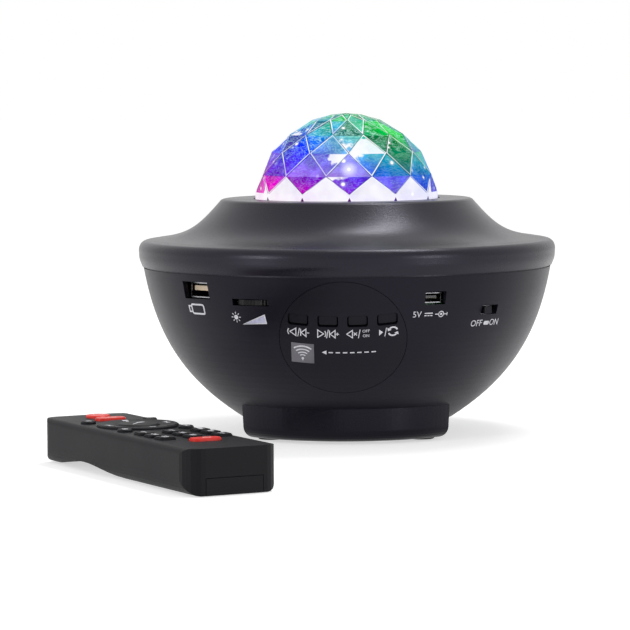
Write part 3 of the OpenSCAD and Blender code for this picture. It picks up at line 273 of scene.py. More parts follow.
REMOTE_AT = Vector((-66, -150, 0)) * MM     # the remote's middle, on the floor
REMOTE_TURN = math.radians(-60)
REMOTE_AXIS = Vector((math.cos(REMOTE_TURN), math.sin(REMOTE_TURN), 0))
LAMP_END = -56.4 * MM           # back of the remote's infrared lamp, along it from its middle
VIOLET = (0.84, 0.82, 1, 1)     # tint of the black plastic's reflections
upper_plastic = moulded("upper_plastic", srgb(12, 10, 19), 0.31, specular=0.36, tint=VIOLET)
bowl_plastic = moulded("bowl_plastic", srgb(13, 11, 20), 0.37, specular=0.2, tint=VIOLET)
foot_plastic = moulded("foot_plastic", srgb(12, 10, 18), 0.24, specular=0.18, tint=VIOLET)
panel_plastic = moulded("panel_plastic", srgb(12, 11, 17), 0.4, specular=0.2, tint=VIOLET)
button_plastic = moulded("button_plastic", srgb(10, 10, 14), 0.38, specular=0.2, tint=VIOLET)
wheel_plastic = moulded("wheel_plastic", srgb(10, 10, 12), 0.38, specular=0.2)
remote_plastic = moulded("remote_plastic", srgb(15, 15, 19), 0.5, grain_size=2600, specular=0.14)
key_rubber = moulded("key_rubber", srgb(17, 17, 21), 0.55, grain=0.2, specular=0.2)
key_red = moulded("key_red", srgb(226, 44, 34), 0.4, grain=0.1, mottle=0.04)
white_plastic = moulded("white_plastic", srgb(225, 225, 220), 0.4)
foot_rubber = moulded("foot_rubber", srgb(24, 24, 24), 0.75, grain=0.6, grain_size=1500)
window_plastic = moulded("window_plastic", srgb(104, 102, 109), 0.35, grain=0.8, grain_size=900, mottle=0.35)
screw_metal = metal("screw_metal", srgb(190, 190, 195), 0.32)
brass_metal = metal("brass_metal", srgb(205, 165, 90), 0.3)
speaker_metal = metal("speaker_metal", srgb(90, 90, 95), 0.4)
green_board = circuit("green_board", srgb(20, 95, 55), srgb(60, 140, 80))
remote_green = circuit("remote_green", srgb(20, 95, 55), srgb(60, 140, 80),
                       (REMOTE_AXIS, REMOTE_AT.dot(REMOTE_AXIS) + LAMP_END))
white_board = circuit("white_board", srgb(228, 228, 224), srgb(205, 205, 200))
cone_paper = moulded("cone_paper", srgb(30, 30, 30), 0.85, grain=0.7, grain_size=700)
battery_wrap = moulded("battery_wrap", srgb(40, 95, 60), 0.35, grain=0.05)
clear_plastic = clear("clear_plastic", (0.96, 0.98, 1, 1))
emitter = moulded("emitter", srgb(250, 240, 190), 0.3, grain=0.1)

FINISH = {
    upper_plastic: ["upper_housing"],
    bowl_plastic: ["lower_housing"],
    foot_plastic: ["foot_base"],
    panel_plastic: ["control_panel"],
    window_plastic: ["receiver_window"],
    button_plastic: ["button_previous", "button_next", "button_mute", "button_repeat", "switch_knob",
                     "dome_retainer"],
    wheel_plastic: ["dimmer_wheel"],
    foot_rubber: ["rubber_feet"],
    screw_metal: ["housing_screws", "case_screws", "small_screws", "switch_body", "spindle_clip", "drive_motor"],
    green_board: ["control_board", "left_board", "right_board", "main_board"],
    remote_green: ["remote_board"],
    white_board: ["lamp_board"],
    white_plastic: ["wave_gear", "motor_pinion", "grating_gear", "optical_deck"],
    clear_plastic: ["wave_plate", "lamp_lenses"],
    emitter: ["lamp_emitters"],
    brass_metal: ["laser_module"],
    speaker_metal: ["speaker_frame"],
    cone_paper: ["speaker_cone"],
    remote_plastic: ["remote_top_case", "remote_bottom_case", "battery_door"],
    battery_wrap: ["remote_batteries"],
    key_red: ["key_power", "key_source", "key_colour"],
    key_rubber: ["key_ring", "key_centre"] + [f"key_round_{i}" for i in range(1, 5)]
    + [f"key_square_{i}" for i in range(1, 10)],
}
for material, names in FINISH.items():
    for name in names:
        nodes[name].data.materials.clear()
        nodes[name].data.materials.append(material)


# limits of a socket's colours, in millimetres
LIP = 0.45                  # depth of the shell's mouth, left as steel in front of the painted shade inside
SHELL_IN = 0.1              # how far in from the shell's outer faces the painted shade of its inside starts
TONGUE_OUT = 0.05           # how far past the tongue its colour reaches
CONTACT_UP = 0.1            # how far up from the tongue's underside its contacts reach
CONTACT_FROM = 0.36         # where a contact starts, as a share of the pitch, from midway between two
SOCKET_STREAKS = 700        # in repeats a metre
# painted shade inside a socket's steel shell
SOCKET_PAINTED_SHADE = srgb(12, 12, 13)


def socket_material(name, angle, z, shell, tongue, tongue_colour, pitch, contact_colour, steel_colours):
    """Plated shell whose inside past the mouth carries painted shade, dark and not metallic, and a plastic tongue
    with contacts under it.
    """
    node, (wide, high), (tongue_wide, tongue_thick, tongue_up) = nodes[name], shell, tongue
    out = Vector((math.sin(angle), -math.cos(angle), 0))
    side = Vector((math.cos(angle), math.sin(angle), 0))
    mouth = max(v.co.dot(out) for v in node.data.vertices)
    s = Shader(name)

    def within(value, middle, half):
        return s.math("LESS_THAN", s.math("ABSOLUTE", s.math("SUBTRACT", value, middle)), half * MM)

    def all_of(first, *others):
        for other in others:
            first = s.math("MULTIPLY", first, other)
        return first

    across, up = s.along(side), s.math("SUBTRACT", s.along((0, 0, 1)), z * MM)
    behind = s.math("LESS_THAN", s.along(out), mouth - LIP * MM)
    inside = all_of(within(across, 0, wide / 2 - SHELL_IN), within(up, 0, high / 2 - SHELL_IN), behind)
    plate = all_of(within(across, 0, tongue_wide / 2 + TONGUE_OUT),
                   within(up, tongue_up * MM, tongue_thick / 2 + TONGUE_OUT), behind)
    pads = s.math("GREATER_THAN", s.math("PINGPONG", across, pitch * MM / 2), pitch * MM * CONTACT_FROM)
    under = s.math("LESS_THAN", up, (tongue_up - tongue_thick / 2 + CONTACT_UP) * MM)
    contacts = all_of(plate, pads, under)
    streaks = s.noise(SOCKET_STREAKS, 3, 0.6)
    steel = s.mix(s.span(streaks, 0.3, 0.7), *steel_colours)
    # painted shade: past its mouth the shell's inside is dark instead of steel, and not metallic
    colour = s.mix(inside, steel, SOCKET_PAINTED_SHADE)
    colour = s.mix(plate, colour, tongue_colour)
    s.link(s.mix(contacts, colour, contact_colour), "Base Color")
    s.link(s.math("MAXIMUM", s.math("SUBTRACT", 1.0, inside), contacts), "Metallic")
    s.link(s.span(streaks, 0.3, 0.7, 0.22, 0.34), "Roughness")
    s.bump(streaks, 0.1)
    node.data.materials.clear()
    node.data.materials.append(s.material)


socket_material("media_socket", math.radians(-45.4), 61, (13.3, 5.9), (10.9, 1.9, 0.7), srgb(232, 212, 184), 2.5,
                srgb(225, 175, 90), (srgb(150, 150, 154), srgb(195, 195, 198)))
socket_material("power_inlet", math.radians(26.3), 58.7, (7.7, 3.9), (4.5, 1.0, 0.3), srgb(44, 44, 48), 0.8,
                srgb(120, 116, 108), (srgb(96, 96, 100), srgb(140, 140, 144)))

# ---------- flat shapes, as lists of polygons in millimetres ----------

TINY = 1e-6                 # a length that counts as none
MITRE = 0.35                # the least cosine that a mitre follows, so that it stays short
RING_STEPS = 24
DISC_STEPS = 20
CORNER_STEPS = 4
CAP_SHARE = 0.7             # a capital's height as a share of the font's size


def stroke(points, width, closed=False):
    """A line of that width as quads with mitred corners."""
    points = [Vector(p) for p in points]
    n = len(points)
    left, right = [], []
    for i, p in enumerate(points):
        before = points[i - 1] if closed or i else p
        after = points[(i + 1) % n] if closed or i < n - 1 else p
        a = (p - before).normalized() if (p - before).length > TINY else (after - p).normalized()
        b = (after - p).normalized() if (after - p).length > TINY else a
        middle = (a + b).normalized() if (a + b).length > TINY else a
        side = Vector((-middle.y, middle.x))
        reach = width / 2 / max(MITRE, side.dot(Vector((-a.y, a.x))))
        left.append(p + side * reach)
        right.append(p - side * reach)
    ends = range(n) if closed else range(n - 1)
    return [[right[i], right[(i + 1) % n], left[(i + 1) % n], left[i]] for i in ends]


def arc(x, y, r, start, end, steps=12):
    angles = [math.radians(start + (end - start) * i / steps) for i in range(steps + 1)]
    return [(x + r * math.cos(a), y + r * math.sin(a)) for a in angles]


def ring(x, y, r, width):
    return stroke(arc(x, y, r, 0, 360, RING_STEPS)[:-1], width, closed=True)


def filled(*points):
    return [[Vector(p) for p in points]]


def disc(x, y, r):
    return filled(*arc(x, y, r, 0, 360, DISC_STEPS)[:-1])


def bar(x0, y0, x1, y1):
    return filled((x0, y0), (x1, y0), (x1, y1), (x0, y1))


def rounded(x0, y0, x1, y1, r):
    """The points of a bar with rounded corners."""
    corners = [(x1 - r, y1 - r, 0), (x0 + r, y1 - r, 90), (x0 + r, y0 + r, 180), (x1 - r, y0 + r, 270)]
    return [p for cx, cy, a in corners for p in arc(cx, cy, r, a, a + 90, CORNER_STEPS)]


def letters(text, height, x, y):
    """Plain lettering of that cap height, centred on x and y."""
    curve = bpy.data.curves.new("letters", "FONT")
    curve.body = text
    curve.align_x = "CENTER"
    curve.align_y = "CENTER"
    curve.size = height / CAP_SHARE
    curve.resolution_u = 3
    shape = placed("letters", curve)
    mesh = bpy.data.meshes.new_from_object(shape)
    corners = [v.co for v in mesh.vertices]
    polygons = [[Vector((corners[i].x + x, corners[i].y + y)) for i in p.vertices] for p in mesh.polygons]
    bpy.data.objects.remove(shape)
    bpy.data.curves.remove(curve)
    bpy.data.meshes.remove(mesh)
    return polygons


def moved(polygons, x, y, turn=0.0):
    """The polygons turned by that many degrees, then moved."""
    c, s = math.cos(math.radians(turn)), math.sin(math.radians(turn))
    return [[Vector((x + c * p.x - s * p.y, y + s * p.x + c * p.y)) for p in polygon] for polygon in polygons]


# ---------- printing: flat shapes laid on a surface as thin closed plates ----------

INK = 0.05 * MM             # thickness of a print above its surface
KEY_INK = 0.04 * MM         # and on the remote's keys
WEDGE_INK = 0.7 * INK       # and of the wedge's inner face, which its edge overlaps
SUNK = 0.04 * MM            # how far a print reaches into its surface
CELL = 1.0                  # a print is cut into cells of this many millimetres, to follow the surface
WELD = 0.002                # corners nearer to each other than this, in millimetres, become one
ON_CUT = 1e-5               # corners nearer than this to a cut, in millimetres, lie on it


def surface(name):
    """A ray-casting tree of the named CAD node."""
    mesh = nodes[name].data
    return BVHTree.FromPolygons([v.co.copy() for v in mesh.vertices], [list(p.vertices) for p in mesh.polygons])


def print_on(name, polygons, aim, tree, material, body, ink=INK):
    """aim(u, v) gives a ray's start and direction; the shape goes where the rays meet the tree."""
    bm = bmesh.new()
    for polygon in polygons:
        bm.faces.new([bm.verts.new((p.x, p.y, 0)) for p in polygon])
    bmesh.ops.remove_doubles(bm, verts=bm.verts[:], dist=WELD)
    for axis in (0, 1):
        places = [v.co[axis] for v in bm.verts]
        first = math.floor(min(places) / CELL) + 1
        for i in range(first, math.ceil(max(places) / CELL)):
            at, normal = Vector((0, 0, 0)), Vector((0, 0, 0))
            at[axis], normal[axis] = i * CELL, 1
            bmesh.ops.bisect_plane(bm, geom=bm.verts[:] + bm.edges[:] + bm.faces[:], dist=ON_CUT,
                                   plane_co=at, plane_no=normal)
    bmesh.ops.triangulate(bm, faces=[f for f in bm.faces if len(f.verts) > 4])
    bm.verts.ensure_lookup_table()
    low, high = {}, {}
    flat = {v.index: v.co.xy.copy() for v in bm.verts}
    faces = [[v.index for v in f.verts] for f in bm.faces]
    rims = [[v.index for v in e.verts] for e in bm.edges if len(e.link_faces) == 1]
    wound = {(f[i], f[(i + 1) % len(f)]) for f in faces for i in range(len(f))}
    bm.free()
    corners, plates = [], []
    for i, p in flat.items():
        start, direction = aim(p.x, p.y)
        hit, normal, _, _ = tree.ray_cast(start, direction)
        if hit is None:
            raise ValueError(f"{name} misses its surface at {p.x:.2f}, {p.y:.2f}")
        if normal.dot(direction) > 0:
            normal = -normal
        low[i], high[i] = len(corners), len(corners) + 1
        corners += [hit - normal * SUNK, hit + normal * ink]
    for f in faces:
        plates.append([high[i] for i in f])
        plates.append([low[i] for i in reversed(f)])
    for a, b in rims:
        if (a, b) not in wound:
            a, b = b, a
        plates.append([low[a], low[b], high[b], high[a]])
    mesh = bpy.data.meshes.new(name)
    mesh.from_pydata(corners, [], plates)
    mesh.update()
    mesh.materials.append(material)
    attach(placed(name, mesh), body)


white_ink = print_ink("white_ink", srgb(226, 226, 232))
lavender_ink = print_ink("lavender_ink", srgb(196, 196, 222))
pink_ink = print_ink("pink_ink", srgb(250, 190, 185))

# ---------- marks on the control panel: u across and v up, from the panel's centre ----------

PANEL_Z = 41.9 * MM         # height of the panel's centre
PANEL_Y = 74.87 * MM        # and how far it lies in front of the axis
PANEL_TILT = math.radians(24.36)
LINE = 0.36                 # width of a thin printed line, in millimetres
REACH = 0.03                # how far off its surface a print's ray starts, in metres
ICON_V = 3.65               # middle of the icon row
CONE_H = 3.2                # heights of the triangles, slashes and bars in it
SLASH_H = 3.6
UPRIGHT_H = 3
panel_up = Vector((0, -math.sin(PANEL_TILT), math.cos(PANEL_TILT)))
panel_out = Vector((0, -math.cos(PANEL_TILT), -math.sin(PANEL_TILT)))


def on_panel(u, v):
    return Vector((u * MM, -PANEL_Y, PANEL_Z)) + panel_up * v * MM + panel_out * REACH, -panel_out


def outline(points, width=LINE):
    return stroke(points, width, closed=True)


def cone(u, facing, width=2.3):
    """An outlined triangle with its point towards facing (-1 or 1)."""
    tip, back = u + facing * width / 2, u - facing * width / 2
    return outline([(tip, ICON_V), (back, ICON_V + CONE_H / 2), (back, ICON_V - CONE_H / 2)])


def slash(u):
    return stroke([(u - 0.35, ICON_V - SLASH_H / 2), (u + 0.35, ICON_V + SLASH_H / 2)], 0.3)


def upright(u):
    return stroke([(u, ICON_V - UPRIGHT_H / 2), (u, ICON_V + UPRIGHT_H / 2)], LINE)


def small_loop(x, y, r):
    """Two arrows that chase each other round a circle."""
    shapes = []
    for start in (20, 200):
        shapes += stroke(arc(x, y, r, start, start + 115), 0.62)
        end = math.radians(start + 130)
        at = Vector((x + r * math.cos(end), y + r * math.sin(end)))
        along = Vector((-math.sin(end), math.cos(end)))
        out = Vector((math.cos(end), math.sin(end)))
        shapes += filled(at + along * 0.75, at + out * 0.95 - along * 0.35, at - out * 0.95 - along * 0.35)
    return shapes


def panel_marks():
    tree = surface("control_panel")
    previous = (stroke(arc(-19.3, ICON_V, 1.9, 140, 220, 6), LINE) + cone(-19.2, -1) + slash(-17.0)
                + upright(-16.2) + cone(-15.1, -1, 1.9) + bar(-13.8, ICON_V - 0.18, -12.9, ICON_V + 0.18))
    following = (cone(-8.5, 1) + stroke(arc(-8.4, ICON_V, 1.9, -40, 40, 6), LINE) + slash(-5.9)
                 + upright(-5.1) + cone(-3.9, -1, 1.9) + bar(-2.7, ICON_V - 0.18, -1.5, ICON_V + 0.18)
                 + bar(-2.28, ICON_V - 0.6, -1.92, ICON_V - 0.24) + bar(-2.28, ICON_V + 0.24, -1.92, ICON_V + 0.6))
    mute = (cone(2.6, -1, 2.2) + stroke([(4.2, ICON_V - 0.6), (5.4, ICON_V + 0.6)], LINE)
            + stroke([(4.2, ICON_V + 0.6), (5.4, ICON_V - 0.6)], LINE) + slash(6.3)
            + letters("OFF", 1.15, 8.9, ICON_V + 1.0) + letters("ON", 1.15, 8.9, ICON_V - 1.0))
    repeat = (filled((13.9, ICON_V + 1.3), (13.9, ICON_V - 1.3), (15.4, ICON_V)) + slash(16.4)
              + small_loop(19.2, ICON_V, 1.75))
    for name, shape in (("mark_previous", previous), ("mark_next", following), ("mark_mute", mute),
                        ("mark_repeat", repeat)):
        print_on(name, shape, on_panel, tree, white_ink, ROOT)
    # a dashed arrow towards the receiver window
    pointer = filled((-8.2, -4.5), (-6.4, -3.6), (-6.4, -5.4))
    dashes, step = 7, 2.75
    for i in range(dashes):
        pointer += bar(-5.6 + step * i, -4.75, -3.9 + step * i, -4.25)
    print_on("mark_receiver_pointer", pointer, on_panel, tree, white_ink, ROOT)
    # a lamp on a stem, with waves above it, in the window
    x, y = -15.6, -8.3
    waves = disc(x, y + 0.5, 0.5) + bar(x - 0.2, y - 0.4, x + 0.2, y + 0.2)
    for r, width in ((1.6, 0.4), (2.8, 0.45), (4.1, 0.5), (5.5, 0.6)):
        waves += stroke(arc(x, y + 0.5, r, 52, 128, 10), width)
    print_on("mark_receiver_waves", waves, on_panel, surface("receiver_window"), white_ink, ROOT)


panel_marks()

# ---------- marks on the bowl: across it from an angle off the panel's side, and up from a height ----------

BOWL_R = 79 * MM            # about the bowl's radius at the marks
WEDGE_AT = (-26.0, 50.6)
WEDGE_TURN = 3
SUN_RAYS = 8


def on_bowl(angle, height):
    """The aim of a mark round that angle in degrees and that height in millimetres."""
    def aim(u, v):
        a = math.radians(angle) + u * MM / BOWL_R
        out = Vector((math.sin(a), -math.cos(a), 0))
        return out * (BOWL_R + REACH) + Vector((0, 0, (height + v) * MM)), -out
    return aim


def bowl_marks():
    tree = surface("lower_housing")
    stick = (outline(rounded(-2.7, -1.8, 4.4, 1.8, 0.7), 0.68)
             + stroke([(-2.9, 1.1), (-4.4, 1.1), (-4.4, -1.1), (-2.9, -1.1)], 0.6))
    print_on("mark_media_stick", stick, on_bowl(-46.5, 53.6), tree, white_ink, ROOT)
    sun = disc(0, 0, 0.92)
    for i in range(SUN_RAYS):
        a = math.radians(360 / SUN_RAYS * i)
        sun += stroke([(1.35 * math.cos(a), 1.35 * math.sin(a)), (2.1 * math.cos(a), 2.1 * math.sin(a))], 0.3)
    print_on("mark_sun", sun, on_bowl(-31.8, 51.3), tree, white_ink, ROOT)
    wedge = moved(filled((-5.1, -1.7), (5.1, -1.7), (4.9, 1.6)), 0, 0, WEDGE_TURN)
    print_on("mark_wedge_edge", outline(wedge[0], 0.4), on_bowl(*WEDGE_AT), tree, white_ink, ROOT)
    inner = moved(filled((-4.0, -1.5), (4.85, -1.5), (4.72, 1.3)), 0, 0, WEDGE_TURN)
    print_on("mark_wedge", inner, on_bowl(*WEDGE_AT), tree, lavender_ink, ROOT, ink=WEDGE_INK)
    supply = (letters("5V", 2.3, -5.0, 0) + bar(-1.9, 0.25, 1.5, 0.65) + bar(-1.9, -0.65, -1.0, -0.25)
              + bar(-0.65, -0.65, 0.25, -0.25) + bar(0.6, -0.65, 1.5, -0.25)
              + ring(5.2, 0, 1.05, 0.34) + disc(5.2, 0, 0.45) + stroke([(2.6, 0), (4.2, 0)], 0.34)
              + stroke([(6.2, 0), (7.8, 0)], 0.34) + stroke([(7.8, -0.6), (7.8, 0.6)], 0.3))
    print_on("mark_supply", supply, on_bowl(24.8, 52.4), tree, white_ink, ROOT)
    switch = (letters("OFF", 2.45, -5.1, 0) + filled(*rounded(-1.1, -0.75, 1.9, 0.75, 0.6))
              + letters("ON", 2.45, 4.9, 0))
    print_on("mark_off_on", switch, on_bowl(45.4, 47.8), tree, white_ink, ROOT)


bowl_marks()

# ---------- marks on the remote control: x from its middle towards the rear end, y towards the far side ----------

REMOTE_L = 126
REMOTE_W = 36
ABOVE_REMOTE = 0.03         # height at which a print's ray starts, in metres
KEY_V = 17.5                # the keys on the remote's middle line, from its far side


def key_place(u, v):
    """A place from the front end and from the far side."""
    return u - REMOTE_L / 2, REMOTE_W / 2 - v


def on_remote(x, y):
    c, s = math.cos(REMOTE_TURN), math.sin(REMOTE_TURN)
    place = REMOTE_AT + Vector((c * x - s * y, s * x + c * y, 0)) * MM
    return place + Vector((0, 0, ABOVE_REMOTE)), Vector((0, 0, -1))


def key_mark(key, place, shape, material=white_ink):
    print_on("mark_" + key, moved(shape, *place), on_remote, surface(key), material, key, ink=KEY_INK)


def bow_tie(size):
    return (filled((0, 0), (-size, size * 0.7), (-size, -size * 0.7))
            + filled((0, 0), (size, -size * 0.7), (size, size * 0.7)))


def level_bar(sign):
    """A bar with a plus or a minus beside it."""
    shape = bar(-0.75, -1.1, 0.75, 1.1) + bar(1.3, -0.2, 2.5, 0.2)
    if sign > 0:
        shape += bar(1.7, -0.6, 2.1, -0.22) + bar(1.7, 0.22, 2.1, 0.6)
    return shape


def small_glyphs():
    """Plain signs for the small keys."""
    lines = bar(-1.9, 0.1, -0.3, 0.55) + bar(-1.9, -0.75, -0.3, -0.3)
    minus = bar(-0.6, -0.18, 0.6, 0.18)
    plus = minus + bar(-0.18, -0.6, 0.18, -0.2) + bar(-0.18, 0.2, 0.18, 0.6)
    play = filled((-0.8, -0.9), (0.9, 0), (-0.8, 0.9))
    pause = bar(-0.9, -0.9, -0.3, 0.9) + bar(0.3, -0.9, 0.9, 0.9)
    lamp = disc(-0.7, 0.2, 0.95) + filled((0.5, -0.9), (2.0, -0.9), (1.25, 1.3))
    fan = bar(-1.6, -0.9, -1.1, 0.9) + bar(-0.7, -0.9, -0.2, 0.9) + filled((0.2, -1.2), (1.8, 0), (0.2, 1.2))
    return [
        stroke(arc(0, 0, 0.95, 40, 330, 14), 0.42) + bar(0.0, -0.2, 1.0, 0.2),
        pause,
        play + bar(1.1, -0.9, 1.5, 0.9),
        ring(-0.5, 0, 0.75, 0.38) + ring(0.7, 0, 0.75, 0.38),
        lamp,
        lines + moved(plus, 1.1, 0),
        lines + moved(minus, 1.1, 0),
        fan,
        stroke([(-1.8, -0.8), (-0.9, 0.8), (0, -0.8), (0.9, 0.8), (1.8, -0.8)], 0.42),
        ring(-0.9, 0, 0.8, 0.38) + bar(0.5, -0.9, 0.95, 0.9) + bar(1.3, -0.9, 1.75, 0.9),
        stroke([(-1.6, -0.8), (-0.6, 0.9), (0.3, -0.8)], 0.42) + disc(1.3, 0, 0.5),
        bar(-1.5, 0.45, 1.5, 0.85) + bar(-1.5, -0.2, 1.5, 0.2) + bar(-1.5, -0.85, 1.5, -0.45),
        ring(-0.8, 0, 0.8, 0.38) + ring(0.9, 0, 0.8, 0.38),
    ]


def remote_marks():
    power = stroke(arc(0, 0, 1.75, 125, 415, 20), 0.42) + bar(-0.2, 0.4, 0.2, 2.3)
    key_mark("key_power", key_place(11.2, KEY_V), moved(power, 0, 0, 30), pink_ink)
    for key, u in (("key_source", 22.2), ("key_colour", 102)):
        key_mark(key, key_place(u, KEY_V), ring(0, 0.6, 1.35, 0.42), pink_ink)
    centre = key_place(46.5, KEY_V)
    signs = (moved(bow_tie(1.6), 0, 11.6) + moved(bow_tie(1.6), 0, -11.6)
             + moved(level_bar(1), -12.3, 0.5) + moved(level_bar(-1), 11.2, 0.5))
    print_on("mark_ring", moved(signs, *centre), on_remote, surface("key_ring"), white_ink, "key_ring", ink=KEY_INK)
    handle = (filled((-2.9, 2.6), (-1.5, 3.2), (-0.4, 1.0), (-1.6, 0.1)) + disc(-2.2, 2.9, 0.75)
              + filled((-1.3, 0.6), (-0.6, 1.0), (3.1, -3.3), (2.8, -3.6)))
    key_mark("key_centre", centre, handle)
    glyphs = small_glyphs()
    rounds = [(31, 5.5), (30, 30), (62, 5.5), (62, 30)]
    for i, place in enumerate(rounds):
        key_mark(f"key_round_{i + 1}", key_place(*place), glyphs[i])
    squares = [(u, v) for u in (75, 83.5, 92) for v in (6, 17.3, 28.3)]
    for i, place in enumerate(squares):
        key_mark(f"key_square_{i + 1}", key_place(*place), glyphs[4 + i])


remote_marks()

# ---------- the dome: a clear faceted shell whose inner faces carry the coloured light ----------

DOME_SIDES = 12             # corners in a ring
DOME_R = 37.39 * MM         # radius of the sphere that the corners lie on
DOME_WALL = 0.7 * MM
DOME_LOW = 4.8              # elevation in degrees at which the dome leaves the collar
DOME_RINGS = [8.8, 20.1, 35.9, 51.1, 68.4, 80.5]     # elevation of each ring of corners
DOME_TURN = 3.0             # turn of the lowest corners about the axis, in degrees
COLLAR_Z = 94.6 * MM        # height of the collar's top
FLANGE_T = 1.6 * MM         # thickness of the flange under the collar
FLANGE_IN = 0.93            # its inner radius as a share of the dome's
FLANGE_STEPS = 96
LIGHT_LINE = 0.5 * MM       # reach of the painted highlight line along a facet's sloping edge, where it catches the light
DARK_LINE = 0.3 * MM        # and of the painted shade line, where it shows dark
FOOT_RISE = 1.4 * MM        # height above the collar of the dark feet of the lowest corners
FOOT_HALF = 2.6 * MM        # and their half width
CLEAR, LIT, BRIGHT_EDGE, DARK_EDGE = range(4)       # the dome's material slots
FACET_SEED = 7

flange_low, flange_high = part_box("dome_lens")
dome_z = COLLAR_Z - DOME_R * math.sin(math.radians(DOME_LOW))

# facets on the panel's side: belt and place round the dome, then the shift along the light's colours and the
# brightness, where more than 1 is paler; the others are drawn at random
UPRIGHT = {
    (1, 9): (-0.1, 0.85), (2, 11): (-0.11, 1.2), (2, 0): (0.07, 0.9), (2, 10): (-0.07, 1.12), (2, 9): (0.0, 0.85),
    (2, 1): (0.03, 0.75), (3, 10): (0.05, 1.12), (3, 9): (-0.01, 1.0), (3, 0): (0.1, 0.32), (3, 11): (0.05, 1.0),
    (3, 8): (0.04, 0.9), (4, 10): (0.06, 0.3), (4, 11): (0.1, 0.8), (4, 9): (0.06, 0.75), (4, 0): (0.12, 1.0)}
HANGING = {
    (1, 11): (-0.08, 0.85), (1, 10): (-0.09, 0.72), (1, 0): (-0.06, 1.08), (1, 9): (-0.11, 1.0), (1, 1): (0.0, 0.9),
    (2, 10): (-0.07, 1.12), (2, 11): (0.05, 1.05), (2, 9): (-0.01, 0.9), (2, 0): (0.13, 0.33), (2, 8): (-0.06, 0.8),
    (2, 1): (0.06, 0.65), (3, 10): (0.05, 1.12), (3, 11): (0.12, 0.36), (3, 9): (0.0, 0.95), (3, 0): (0.12, 0.8),
    (4, 10): (0.02, 1.05), (4, 11): (0.08, 0.95)}
# whiteness of a painted white reflection, at the corners of the facets that catch one
WHITE_UPRIGHT = {
    (3, 11): (1, 1, 0.55), (2, 6): (0.2, 1, 0.7), (3, 4): (1, 0.4, 0.2), (4, 8): (0.8, 0.4, 0.1),
    (1, 9): (-0.9, 1.5, 0.3), (1, 2): (1.5, -0.6, 0.4)}
WHITE_HANGING = {
    (2, 10): (0.2, 1.15, 0.25), (3, 10): (0.75, 0.35, 0.6), (1, 11): (0.1, 0.2, 0.85), (2, 11): (0.2, 0.1, 0.9),
    (2, 4): (0.9, 0.3, 0.2), (3, 7): (1, 0.5, 0.6), (1, 6): (0.2, 0.9, 0.3)}
WHITEST = 1.5               # whiteness of the light's foot, and of the upright facets above it
GLOW = (2, 11)              # the upright facet that shows the brightest star


def dome_corners(bm, r):
    """Rings of corners from the flange up, and the top corner."""
    rings = []
    for i, rise in enumerate([DOME_LOW] + DOME_RINGS):
        flat, z = r * math.cos(math.radians(rise)), dome_z + r * math.sin(math.radians(rise))
        if i == 0:
            z = flange_low.z
        turn = math.pi / DOME_SIDES * max(0, i - 1) + math.radians(DOME_TURN)
        angles = [-math.pi / 2 + turn + 2 * math.pi * j / DOME_SIDES for j in range(DOME_SIDES)]
        rings.append([bm.verts.new((flat * math.cos(a), flat * math.sin(a), z)) for a in angles])
    return rings, bm.verts.new((0, 0, dome_z + r))


def facets(rings, top):
    """Each facet as its kind, belt, place, the two ends of its level edge and its third corner."""
    n = DOME_SIDES
    for k in range(1, len(rings) - 1):
        for j in range(n):
            m = (j + 1) % n
            yield "upright", k, j, rings[k][j], rings[k][m], rings[k + 1][j]
            yield "hanging", k, j, rings[k + 1][j], rings[k + 1][m], rings[k][m]
    for j in range(n):
        yield "upright", len(rings) - 1, j, rings[-1][j], rings[-1][(j + 1) % n], top


def facet_looks():
    """Shift and brightness of every facet."""
    rng = random.Random(FACET_SEED)
    looks = {}
    for k in range(1, len(DOME_RINGS) + 1):
        for j in range(DOME_SIDES):
            for kind, table in (("upright", UPRIGHT), ("hanging", HANGING)):
                drawn = rng.uniform(-0.1, 0.1), rng.uniform(0.35, 1.15)
                looks[kind, k, j] = table.get((k, j), drawn)
    return looks


